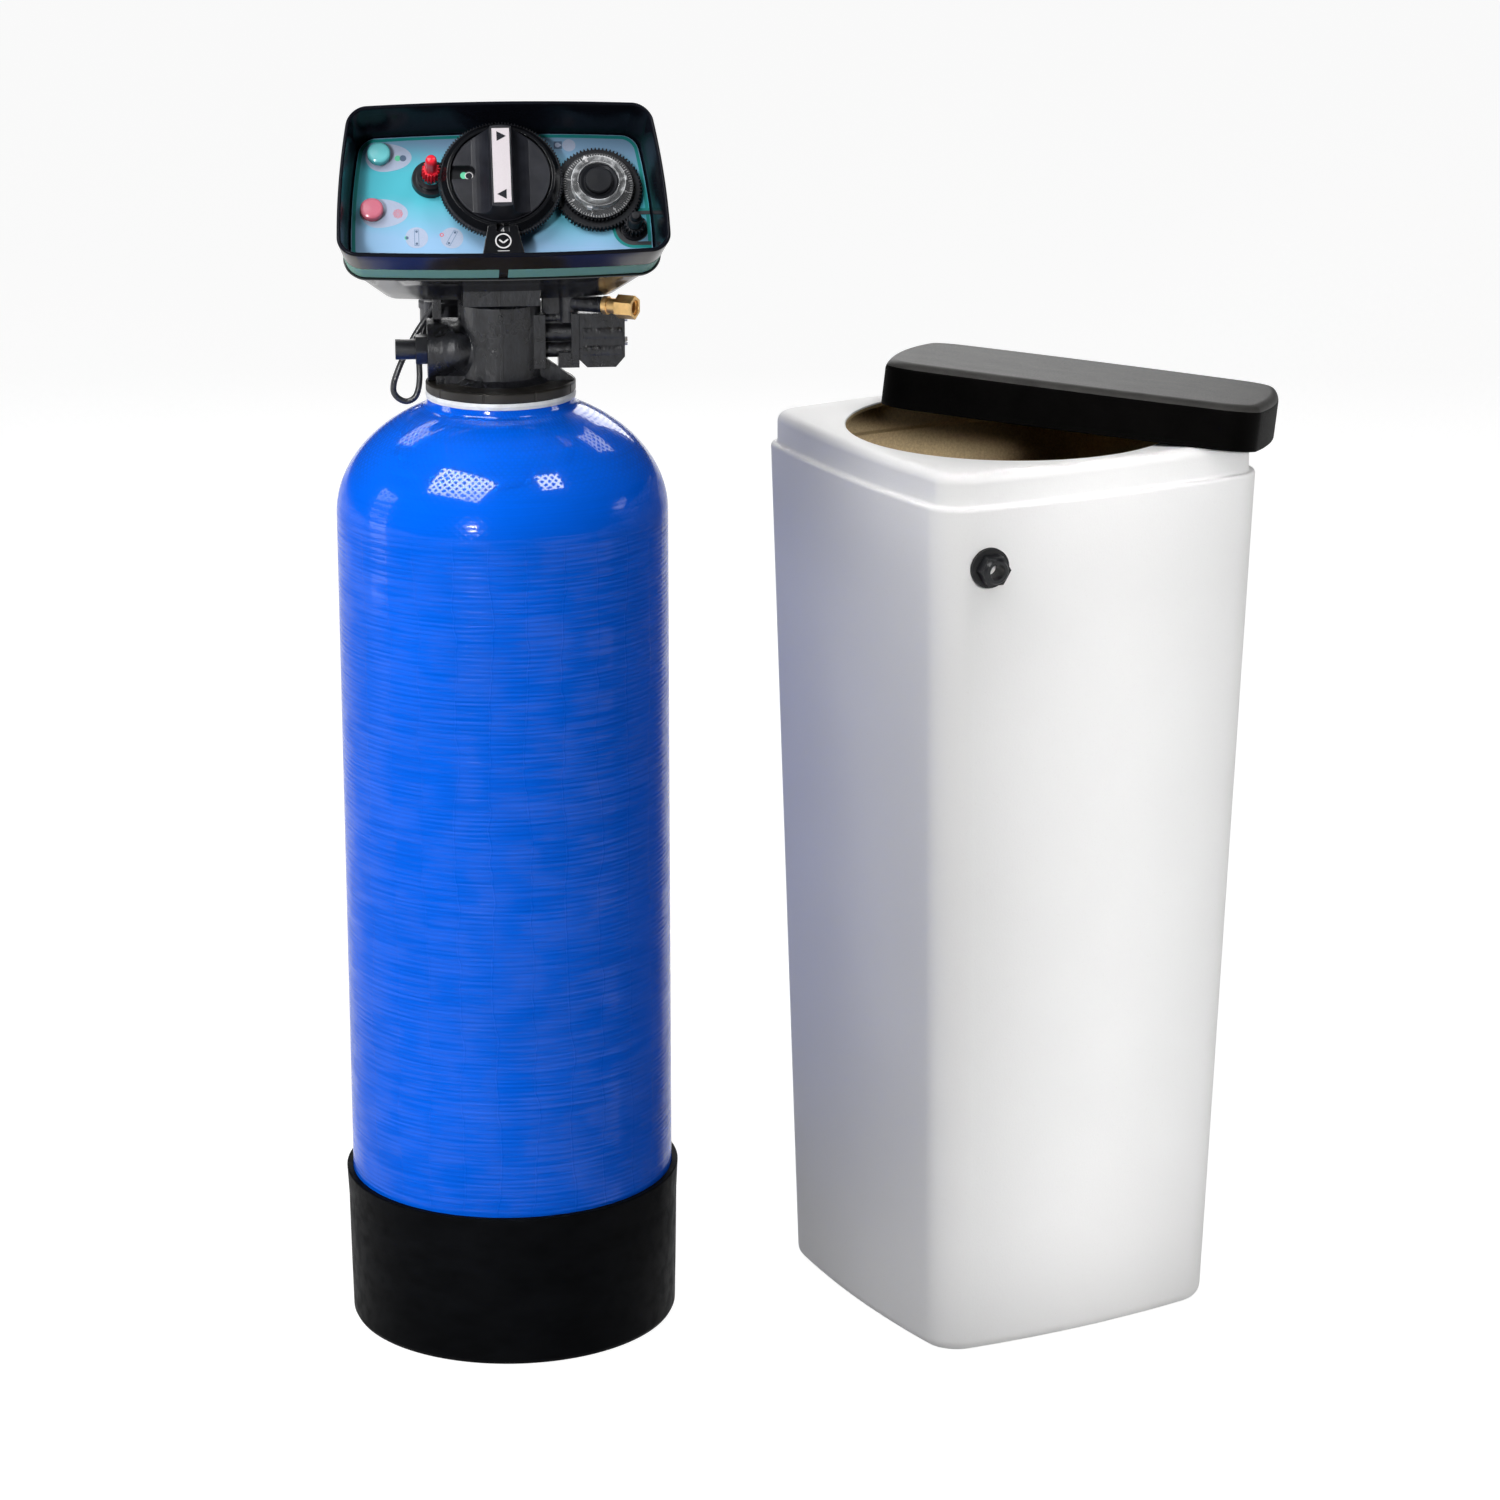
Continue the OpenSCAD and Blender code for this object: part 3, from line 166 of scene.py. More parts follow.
class StageLook(PropertyGroup):
    """Light and floor of the studio."""

    floor: FloatProperty(
        name="Floor tone", description="Tone of the pale floor", subtype="FACTOR",
        min=0.1, max=1, default=0.45)
    key: watts("Key light", "Power of each narrow front lamp", 0.68)
    top: watts("Top light", "Power of the overhead lamp", 33)
    side: watts("Side light", "Power of the left lamp", 1.3)


def both_ways(operation):
    """An operator's method and its reflected form."""
    return (lambda wire, other: wire.math(operation, wire, other),
            lambda wire, other: wire.math(operation, other, wire))


class Wire:
    """A socket of a finish. Sums written on it add Math nodes."""

    def __init__(self, finish, socket):
        self.finish = finish
        self.socket = socket

    def math(self, operation, first, second=0.0):
        return self.finish.node("Math", {"operation": operation}, {0: first, 1: second})

    __add__, __radd__ = both_ways("ADD")
    __sub__, __rsub__ = both_ways("SUBTRACT")
    __mul__, __rmul__ = both_ways("MULTIPLY")
    __truediv__, __rtruediv__ = both_ways("DIVIDE")
    __pow__, __rpow__ = both_ways("POWER")

    def above(self, edge):
        return self.math("GREATER_THAN", self, edge)

    def sine(self):
        return self.math("SINE", self)

    def absolute(self):
        return self.math("ABSOLUTE", self)

    def larger(self, other):
        return self.math("MAXIMUM", self, other)


class Finish:
    """A procedural material, and the one way in which nodes are added to it."""

    def __init__(self, name):
        self.material = bpy.data.materials.new(name)
        self.material.use_nodes = True
        self.tree = self.material.node_tree
        self.tree.nodes.clear()
        self.at = self.node("TexCoord", out="Object")

    def node(self, kind, settings=None, sockets=None, out=0):
        made = self.tree.nodes.new("ShaderNode" + kind)
        for key, value in (settings or {}).items():
            if key == "stops":
                ramp = made.color_ramp.elements
                while len(ramp) < len(value):
                    ramp.new(0.5)
                for element, (place, colour) in zip(ramp, value):
                    element.position = place
                    element.color = (*colour, 1)
            else:
                setattr(made, key, value)
        for key, value in (sockets or {}).items():
            if isinstance(value, Wire):
                self.tree.links.new(value.socket, made.inputs[key])
            else:
                made.inputs[key].default_value = value
        return Wire(self, made.outputs[out]) if made.outputs else made

    def parts(self, vector=None):
        vector = vector or self.at
        return [self.node("SeparateXYZ", sockets={0: vector}, out=i) for i in range(3)]

    def scaled(self, scale):
        return self.node("Mapping", sockets={"Vector": self.at, "Scale": scale})

    def local(self, matrix):
        place, rotation, _ = matrix.decompose()
        return self.node(
            "Mapping", {"vector_type": "TEXTURE"},
            {"Vector": self.at, "Location": place, "Rotation": rotation.to_euler()})

    def noise(self, scale, detail=3.0, rough=0.55, vector=None):
        return self.node("TexNoise", sockets={
            "Vector": vector or self.at, "Scale": scale, "Detail": detail, "Roughness": rough})

    def cells(self, scale):
        return self.node("TexVoronoi", sockets={"Vector": self.at, "Scale": scale})

    def ramp(self, value, stops):
        return self.node("ValToRGB", {"stops": stops}, {0: value})

    def band(self, value, low, high, to_low=0.0, to_high=1.0):
        return self.node("MapRange", sockets={0: value, 1: low, 2: high, 3: to_low, 4: to_high})

    def vary(self, value, to_low, to_high):
        """Spreads the middle of a noise over a range."""
        return self.band(value, 0.3, 0.7, to_low, to_high)

    def blend(self, factor, first, second):
        pair = [c if isinstance(c, Wire) else (*c[:3], 1) for c in (first, second)]
        return self.node("Mix", {"data_type": "RGBA"}, {0: factor, 6: pair[0], 7: pair[1]}, out=2)

    def mottle(self, value, low, high, tone, first, second=1.0):
        """A tone that goes from one share of itself to another."""
        return self.blend(self.band(value, low, high), shade(tone, first), shade(tone, second))

    def edges(self, radius):
        return self.node("Bevel", {"samples": 6}, {"Radius": radius})

    def bump(self, height, strength, distance, normal=None):
        sockets = {"Strength": strength, "Distance": distance, "Height": height}
        if normal:
            sockets["Normal"] = normal
        return self.node("Bump", sockets=sockets)

    def surface(self, colour, rough, normal=None, level=0.5, **fixed):
        sockets = {"Base Color": colour if isinstance(colour, Wire) else (*colour, 1),
                   "Roughness": rough, "Specular IOR Level": level}
        if normal:
            sockets["Normal"] = normal
        sockets.update({key.replace("_", " "): value for key, value in fixed.items()})
        shader = self.node("BsdfPrincipled", sockets=sockets)
        self.node("OutputMaterial", sockets={"Surface": shader})
        return self.material


def once(make):
    """Keeps one material for each finish and its settings."""
    kept = {}

    def wrapped(*values):
        if values not in kept:
            kept[values] = make(*values)
        return kept[values]

    return wrapped


@once
def wound_finish(blue, strand):
    """Glossy glass-fibre winding: fine level strands, crossing strands on the dome."""
    f = Finish("wound_blue")
    x, y, z = f.parts()
    round_at = f.node("Math", {"operation": "ARCTAN2"}, {0: y, 1: x})
    drift = f.noise(1.0, 3.0, 0.6, f.scaled((9, 9, 40)))
    level = (z * (tau / strand) + drift * 9).sine()
    fine = f.noise(1.0, 3.0, 0.6, f.scaled((16, 16, 700)))
    wander = f.noise(20.0, 2.0) * 6

    def woven(pitch, drift):
        """Strands that cross, one layer leaning each way."""
        left, right = [(round_at * 120 + z * side + drift).sine() for side in (pitch, -pitch)]
        return left.larger(right)

    cross = woven(1150, wander)
    dome = f.band(z, 0.656, 0.672)
    crack = f.band((round_at * 28 + f.noise(14.0, 3.0) * 5).sine(), 0.985, 1.0)
    wall = level * 0.22 + crack * -0.5 + fine * 0.7
    height = (1 - dome) * wall + dome * (cross * 0.10 + fine * 0.25)
    cloud = f.noise(9.0, 3.0)
    colour = f.mottle(cloud * 0.5 + fine * 0.5, 0.34, 0.66, blue, 0.82)
    rough = f.vary(f.noise(60.0, 2.0), 0.14, 0.22)
    lean = wander + f.noise(70.0, 3.0) * 9
    hatch = f.band(woven(1500, lean) * 0.7 + f.noise(170.0, 3.0) * 1.6, 0.65, 1.25)
    glint = f.band(fine + f.noise(45.0, 2.0) * 0.5, 0.68, 0.86, 0.0, 0.25)
    top = f.band(z, 0.690, 0.708)
    coat = top * hatch + (1 - top) * glint
    return f.surface(colour, rough, f.bump(height, 0.6, 0.0007), level=0.03,
                     Coat_Weight=coat, Coat_Roughness=0.06, Coat_IOR=1.7)


@once
def moulded_black(name, tone, grain, rough, level):
    """Grained black moulding with faint flow marks."""
    f = Finish(name)
    skin = f.noise(1 / grain, 3.0, 0.6)
    flow = f.noise(1.0, 3.0, 0.6, f.scaled((26, 26, 60)))
    colour = f.mottle(flow, 0.35, 0.7, tone, 0.75, 1.5)
    wear = f.band(f.noise(90.0, 2.0), 0.4, 0.7, rough - 0.06, rough + 0.08)
    normal = f.bump(skin + flow * 0.6, 0.16, 0.0004, f.edges(0.0007))
    return f.surface(colour, wear, normal, level=level)


@once
def crinkled_black(name, tone):
    """Black moulding whose skin is drawn into fine upright creases, darker down in the creases and lighter
    on their ridges: painted shade and painted glints, mixed with slow random flow.
    """
    f = Finish(name)
    crease = f.noise(1.0, 4.0, 0.65, f.scaled((230, 230, 90)))
    flow = f.noise(40.0, 3.0, 0.6)
    # Colour follows the creases: painted shade down in them and painted glints on their ridges
    colour = f.mottle(crease * 0.6 + flow * 0.4, 0.40, 0.64, tone, 0.4, 1.5)
    normal = f.bump(crease, 0.6, 0.0015, f.edges(0.0007))
    return f.surface(colour, f.vary(flow, 0.22, 0.36), normal, level=0.5)


@once
def gloss_black(name, tone, rough, level, bare):
    """Polished black cover with the faint waviness of a moulding."""
    f = Finish(name)
    wave = f.noise(26.0, 2.0, 0.4)
    dust = f.noise(1400.0, 2.0, 0.7)
    colour = f.blend(f.band(dust, 0.5, 0.8), tone, [c * 1.8 + 0.002 for c in tone])
    gloss = f.vary(wave, rough, rough + 0.08)
    normal = f.bump(wave, 0.04, 0.002, None if bare else f.edges(0.0006))
    return f.surface(colour, gloss, normal, level=level)


@once
def plain_plastic(name, tone, rough):
    """Satin moulded plastic with a slight cloud in its colour."""
    f = Finish(name)
    cloud = f.noise(120.0, 3.0)
    colour = f.mottle(cloud, 0.35, 0.65, tone, 0.88)
    grain = f.noise(1500.0, 2.0)
    return f.surface(colour, f.vary(grain, rough - 0.05, rough + 0.05),
                     f.bump(grain, 0.06, 0.0002, f.edges(0.0004)))


@once
def ink(name, tone):
    """Printed ink with the speckle of a screen print."""
    f = Finish(name)
    speck = f.noise(2600.0, 2.0)
    colour = f.mottle(speck, 0.35, 0.7, tone, 0.86)
    return f.surface(colour, f.vary(speck, 0.44, 0.54), level=0.15)


@once
def panel_print(sky, teal):
    """The panel's print: pale blue at its edges, teal across its middle."""
    f = Finish("panel_print")
    across, up, _ = f.parts(f.local(HEAD))
    cloud = f.noise(24.0, 3.0) - 0.5
    level = up / 0.054 + across * 1.5 + cloud * 0.35
    stops = [(0.02, sky), (0.20, sky), (0.52, teal), (0.66, teal), (0.92, shade(sky, 0.80))]
    colour = f.ramp(f.band(level, -1.0, 1.0), stops)
    return f.surface(colour, f.vary(f.noise(900.0), 0.44, 0.54), level=0.15)


@once
def tinted_cap(name, deep, pale):
    """Clear-tinted moulded cap, paler towards its top."""
    f = Finish(name)
    _, _, out = f.parts(f.local(HEAD))
    bloom = f.noise(160.0, 2.0)
    colour = f.blend(f.band(out + bloom * 0.002, 0.0035, 0.0095), deep, pale)
    return f.surface(colour, f.vary(bloom, 0.16, 0.26),
                     f.bump(bloom, 0.03, 0.001, f.edges(0.0005)), level=0.3)


@once
def metal(name, tone, rough, lines):
    """Turned metal with fine tool lines."""
    f = Finish(name)
    marks = f.noise(1.0, 3.0, 0.6, f.scaled(lines))
    stain = f.noise(90.0, 3.0)
    colour = f.mottle(stain, 0.4, 0.75, tone, 1.0, 0.62)
    return f.surface(colour, f.band(marks + stain * 0.4, 0.4, 1.0, rough, rough + 0.22),
                     f.bump(marks, 0.12, 0.0003, f.edges(0.0005)), Metallic=1.0)


@once
def clear_finish():
    """Clear moulded plastic: a thin disc, and a ring that stands on it, with a faint random white haze and a
    painted highlight drawn as a whiter band at its inner and outer edges.
    """
    f = Finish("clear_plastic")
    across, up, out = f.parts(f.local(HEAD @ spot(*WHEEL_AT, 0)))
    radius = (across * across + up * up) ** 0.5
    wave = f.noise(130.0, 2.0)
    ring = out.above((POINTER_TOP + 0.2) * MM)
    middle = (GLASS_IN + GLASS_OUT) / 2 * MM
    # The whiter band near the ring's inner and outer edges is a painted highlight
    rim = f.band((radius - middle).absolute(), 0.0018, 0.0025)
    cloudy, painted_rim_highlight = f.band(wave, 0.50, 0.68, 0.03, 0.34), f.band(wave, 0.35, 0.6, 0.15, 0.55)
    veil = 0.04 + ring * (cloudy + rim * painted_rim_highlight)
    return f.surface((0.86, 0.88, 0.90), f.vary(wave, 0.05, 0.12),
                     f.bump(wave, 0.10, 0.001, f.edges(0.0006)), Alpha=veil)


@once
def tank_finish(white, grain):
    """White moulded polyethylene with a fine grain and slow waves."""
    f = Finish("tank_white")
    skin = f.noise(1 / grain, 3.0, 0.6)
    slow = f.noise(7.0, 2.0, 0.4)
    fleck = f.noise(700.0, 2.0)
    clean = f.mottle(slow, 0.35, 0.65, white, 0.965)
    stained = [c * share for c, share in zip(white, (0.84, 0.80, 0.77))]
    colour = f.blend(f.band(fleck, 0.62, 0.76, 0.0, 0.22), clean, stained)
    normal = f.bump(skin, 0.16, 0.0006, f.bump(slow, 0.10, 0.006))
    return f.surface(colour, f.vary(skin, 0.46, 0.60), normal, level=0.35)


@once
def tank_inside(tone):
    """Dark inside of the tank, a painted shade standing in for the shadow within it, dusted with salt."""
    f = Finish("tank_inside")
    dust = f.noise(520.0, 4.0, 0.7)
    slow = f.noise(11.0, 2.0)
    colour = f.blend(f.band(dust + slow * 0.5, 0.6, 1.05), tone, [c * 1.6 + 0.004 for c in tone])
    return f.surface(colour, f.vary(dust, 0.62, 0.8), f.bump(dust, 0.2, 0.0006), level=0.1)


@once
def bead_finish():
    """Bed of amber resin beads, paler in each bead's middle and darker towards the gaps between them:
    painted highlight and painted shade.
    """
    f = Finish("resin_beads")
    bead = f.cells(900.0)
    # Pale bead middles are a painted highlight and the dark cell edges are painted shade between the beads
    colour = f.blend(f.band(bead, 0.0, 0.7), (0.62, 0.30, 0.05), (0.20, 0.08, 0.01))
    return f.surface(colour, f.band(bead, 0.0, 0.7, 0.18, 0.5), f.bump(1 - bead, 0.6, 0.0008))


@once
def lid_finish(name, tone, gloss):
    """Grained black skin of the lid, dusty in places."""
    f = Finish(name)
    grain = f.noise(780.0, 3.0, 0.6)
    dust = f.noise(30.0, 4.0, 0.6)
    colour = f.mottle(dust + grain * 0.4, 0.5, 0.9, tone, 0.7, 1.3)
    return f.surface(colour, f.vary(grain, 0.46, 0.60), f.bump(grain, 0.30, 0.0005), level=gloss)


@once
def cable_finish():
    """Dark sheath of the meter cable."""
    f = Finish("cable_grey")
    cloud = f.noise(240.0, 3.0)
    colour = f.blend(f.band(cloud, 0.35, 0.65), (0.016, 0.017, 0.020), (0.030, 0.031, 0.035))
    return f.surface(colour, f.vary(cloud, 0.24, 0.36), f.bump(cloud, 0.08, 0.0004))


def linked(name, data):
    """A new object of the data, put in the scene."""
    made = bpy.data.objects.new(name, data)
    bpy.context.scene.collection.objects.link(made)
    return made


def add_piece(name, mesh, body, materials, stands_for=(), sharp=None):
    """Links a finished mesh as a piece that rides on a body."""
    mesh.name = name
    for material in materials:
        mesh.materials.append(material)
    if sharp is not None:
        mesh.shade_smooth()
        mesh.set_sharp_from_angle(angle=radians(sharp))
    piece = linked(name, mesh)
    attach(piece, body)
    if stands_for:
        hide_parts(*stands_for)


def build_mesh(points, faces, matrix, marks=None):
    """A mesh of millimetre points, set in place, with its faces turned outwards."""
    mesh = bpy.data.meshes.new("made")
    mesh.from_pydata([matrix @ (Vector(p) * MM) for p in points], [], faces)
    if marks:
        mesh.polygons.foreach_set("material_index", marks)
    shape = bmesh.new()
    shape.from_mesh(mesh)
    bmesh.ops.remove_doubles(shape, verts=shape.verts, dist=1e-7)
    bmesh.ops.recalc_face_normals(shape, faces=shape.faces)
    shape.to_mesh(mesh)
    shape.free()
    return mesh


def outline(a, b, r, bow, corner=14, side=20):
    """Rounded rectangle with its sides bowed outward, anticlockwise from the right."""
    middles = ((a - r, b - r), (r - a, b - r), (r - a, r - b), (a - r, r - b))
    arcs = [arc(x, y, r, pi / 2 * k, pi / 2, corner) for k, (x, y) in enumerate(middles)]
    points = []
    for k, turned in enumerate(arcs):
        p, q = turned[-1], arcs[(k + 1) % 4][0]
        points += turned
        points += [(p[0] + (q[0] - p[0]) * i / side, p[1] + (q[1] - p[1]) * i / side)
                   for i in range(1, side)]
    return [(x + bow * x / a * (1 - (y / b) ** 2), y + bow * y / b * (1 - (x / a) ** 2))
            for x, y in points]


def keystone(points):
    """The outline drawn in towards its upper edge, as the head is."""
    return [(x * (1 - HEAD_KEY * y / HEAD_B), y) for x, y in points]


def level(points, z, lift=0.0):
    return [(x, y + lift, z) for x, y in points]


def skin(rings, closed):
    """Points and faces over equal rings: a closed frame, or a solid with two ends."""
    n, m = len(rings[0]), len(rings)
    points = [p for ring in rings for p in ring]
    spans = m if closed else m - 1
    faces = []
    for i in range(spans):
        k = (i + 1) % m
        faces += [(i * n + j, i * n + (j + 1) % n, k * n + (j + 1) % n, k * n + j) for j in range(n)]
    if not closed:
        faces += [tuple(range(n)), tuple(range((m - 1) * n, m * n))]
    return points, faces


def revolve(profile, segments):
    """Points and faces of a closed profile turned about the upright axis."""
    points, faces, n = [], [], len(profile)
    for c, s in steps(tau, segments)[:-1]:
        points += [(r * c, r * s, z) for r, z in profile]
    for s in range(segments):
        t = (s + 1) % segments
        faces += [(s * n + i, t * n + i, t * n + (i + 1) % n, s * n + (i + 1) % n) for i in range(n)]
    return points, faces


def settle(piece):
    """Turns a piece with modifiers into a plain mesh and drops the modifiers' object."""
    bpy.context.view_layer.update()
    seen = piece.evaluated_get(bpy.context.evaluated_depsgraph_get())
    mesh = bpy.data.meshes.new_from_object(seen)
    old = piece.data
    bpy.data.objects.remove(piece)
    if isinstance(old, bpy.types.Mesh):
        bpy.data.meshes.remove(old)
    else:
        bpy.data.curves.remove(old)
    return mesh


def cut_away(mesh, cutters):
    """The mesh less the cutters' boxes and rods."""
    piece = linked("cut", mesh)
    tools = [linked("tool", cutter) for cutter in cutters]
    for tool in tools:
        hole = piece.modifiers.new("hole", "BOOLEAN")
        hole.operation, hole.solver, hole.object = "DIFFERENCE", "EXACT", tool
    result = settle(piece)
    for tool in tools:
        bpy.data.objects.remove(tool)
    return result


def block(low, high, matrix):
    corners = [(x, y, z) for z in (low[2], high[2]) for x, y in
               ((low[0], low[1]), (high[0], low[1]), (high[0], high[1]), (low[0], high[1]))]
    faces = [(0, 3, 2, 1), (4, 5, 6, 7), (0, 1, 5, 4), (1, 2, 6, 5), (2, 3, 7, 6), (3, 0, 4, 7)]
    return build_mesh(corners, faces, matrix)


def dress(material, *nodes):
    """Gives CAD nodes that keep their own shape a finish."""
    for name in nodes:
        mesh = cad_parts[name].data
        mesh.materials.clear()
        mesh.materials.append(material)


class Print:
    """Flat printed shapes on one face, gathered into one piece with one ink for each tone."""

    def __init__(self, matrix, thickness):
        self.matrix = matrix
        self.thick = thickness / MM
        self.points, self.faces, self.marks, self.inks = [], [], [], []

    def shape(self, tone, outer, z, inner=None):
        if tone not in self.inks:
            self.inks.append(tone)
        at = len(self.points)
        low, high = z - INK_ROOT, z + self.thick
        rings = [level(outer, low), level(outer, high)]
        if inner:
            rings += [level(inner, high), level(inner, low)]
        points, faces = skin(rings, bool(inner))
        self.points += points
        self.faces += [tuple(at + i for i in face) for face in faces]
        self.marks += [self.inks.index(tone)] * len(faces)

    def disc(self, tone, x, y, r, z, inner=0.0, count=36):
        edge, hole = [arc(x, y, radius, 0, tau, count)[:-1] for radius in (r, inner)]
        self.shape(tone, edge, z, hole if inner else None)

    def bar(self, tone, start, end, width, z):
        s, e = Vector(start), Vector(end)
        way = (e - s).normalized() * width / 2
        side = Vector((-way.y, way.x))
        self.shape(tone, [tuple(p) for p in (s - side, e - side, e + side, s + side)], z)

    def egg(self, tone, x, y, near, far, half, z):
        self.shape(tone, [(x + (far if c > 0 else near) * c, y + half * s)
                          for c, s in steps(tau, 48)[:-1]], z)

    def drop(self, tone, x, y, r, tip_x, tip_r, z):
        lean = acos((r - tip_r) / abs(tip_x - x))
        self.shape(tone, arc(x, y, r, lean, tau - 2 * lean, 40)
                   + arc(tip_x, y, tip_r, -lean, 2 * lean, 16), z)

    def finish(self, name, body, slot=None):
        mesh = build_mesh(self.points, self.faces, self.matrix, self.marks)
        add_piece(name, mesh, body, [printed(tone) for tone in self.inks])


INKS = {
    "lilac": (0.40, 0.47, 0.62), "white": (0.66, 0.65, 0.66), "label": (0.66, 0.61, 0.64),
    "black": (0.012, 0.013, 0.018), "slate": (0.10, 0.15, 0.24), "grey": (0.20, 0.28, 0.42),
    "green": (0.12, 0.58, 0.34), "red": (0.72, 0.10, 0.12),
}


def printed(tone):
    """The finish of a printed shape: an ink, or the dark plastic round the meter pinion."""
    if tone == "dark":
        return plain_plastic("post_grey", (0.035, 0.038, 0.045), 0.4)
    return ink("ink_" + tone, INKS.get(tone) or tuple(getattr(bpy.context.scene.softener_head, tone)))


def numeral(text, height):
    """A flat number as a mesh with its middle at the origin, in metres."""
    curve = bpy.data.curves.new("number", "FONT")
    curve.body, curve.size, curve.extrude = text, height * MM * FIGURE, 0.00004
    curve.align_x, curve.align_y, curve.resolution_u = "CENTER", "CENTER", 3
    return settle(linked("number", curve))


def joined(meshes):
    """One mesh of several, each with its place."""
    shape = bmesh.new()
    for mesh, matrix in meshes:
        mesh.transform(matrix)
        shape.from_mesh(mesh)
        bpy.data.meshes.remove(mesh)
    bmesh.ops.recalc_face_normals(shape, faces=shape.faces)
    made = bpy.data.meshes.new("joined")
    shape.to_mesh(made)
    shape.free()
    return made


def ring_marks_tree():
    """Geometry nodes for equal bars set round a ring."""
    tree = bpy.data.node_groups.get("ring_marks")
    if tree:
        return tree
    tree = bpy.data.node_groups.new("ring_marks", "GeometryNodeTree")
    tree.interface.new_socket("Geometry", in_out="OUTPUT", socket_type="NodeSocketGeometry")
    for name, kind in (("Count", "Int"), ("Radius", "Float"), ("Length", "Float"), ("Width", "Float"),
                       ("Height", "Float"), ("Start", "Float"), ("Material", "Material")):
        tree.interface.new_socket(name, in_out="INPUT", socket_type="NodeSocket" + kind)

    def add(kind, *inputs, operation=None, **named):
        node = tree.nodes.new(kind)
        if operation:
            node.operation = operation
        for key, value in (*enumerate(inputs), *named.items()):
            if isinstance(value, bpy.types.NodeSocket):
                tree.links.new(value, node.inputs[key])
            else:
                node.inputs[key].default_value = value
        return node.outputs[0] if node.outputs else None

    given = tree.nodes.new("NodeGroupInput").outputs
    index = add("GeometryNodeInputIndex")
    share = add("ShaderNodeMath", index, given["Count"], operation="DIVIDE")
    angle = add("ShaderNodeMath", share, tau, given["Start"], operation="MULTIPLY_ADD")
    x = add("ShaderNodeMath", angle, operation="COSINE")
    y = add("ShaderNodeMath", angle, operation="SINE")
    way = add("ShaderNodeCombineXYZ", x, y)
    place = add("ShaderNodeVectorMath", way, operation="SCALE", Scale=given["Radius"])
    facing = add("ShaderNodeCombineXYZ", Z=angle)
    size = add("ShaderNodeCombineXYZ", given["Length"], given["Width"], given["Height"])
    bar = add("GeometryNodeMeshCube", size)
    points = add("GeometryNodePoints", given["Count"], place)
    spread = add("GeometryNodeInstanceOnPoints", Points=points, Instance=bar, Rotation=facing)
    solid = add("GeometryNodeRealizeInstances", spread)
    painted = add("GeometryNodeSetMaterial", Geometry=solid, Material=given["Material"])
    add("NodeGroupOutput", painted)
    return tree


def ring_marks(count, radius, length, width, height, start, material):
    """Mesh of bars round a ring, sizes in millimetres and the start in degrees."""
    piece = linked("marks", bpy.data.meshes.new("marks"))
    modifier = piece.modifiers.new("marks", "NODES")
    modifier.node_group = ring_marks_tree()
    values = {"Count": count, "Radius": radius * MM, "Length": length * MM, "Width": width * MM,
              "Height": height * MM, "Start": radians(start), "Material": material}
    for item in modifier.node_group.interface.items_tree:
        if item.in_out == "INPUT":
            modifier[item.identifier] = values[item.name]
    return settle(piece)


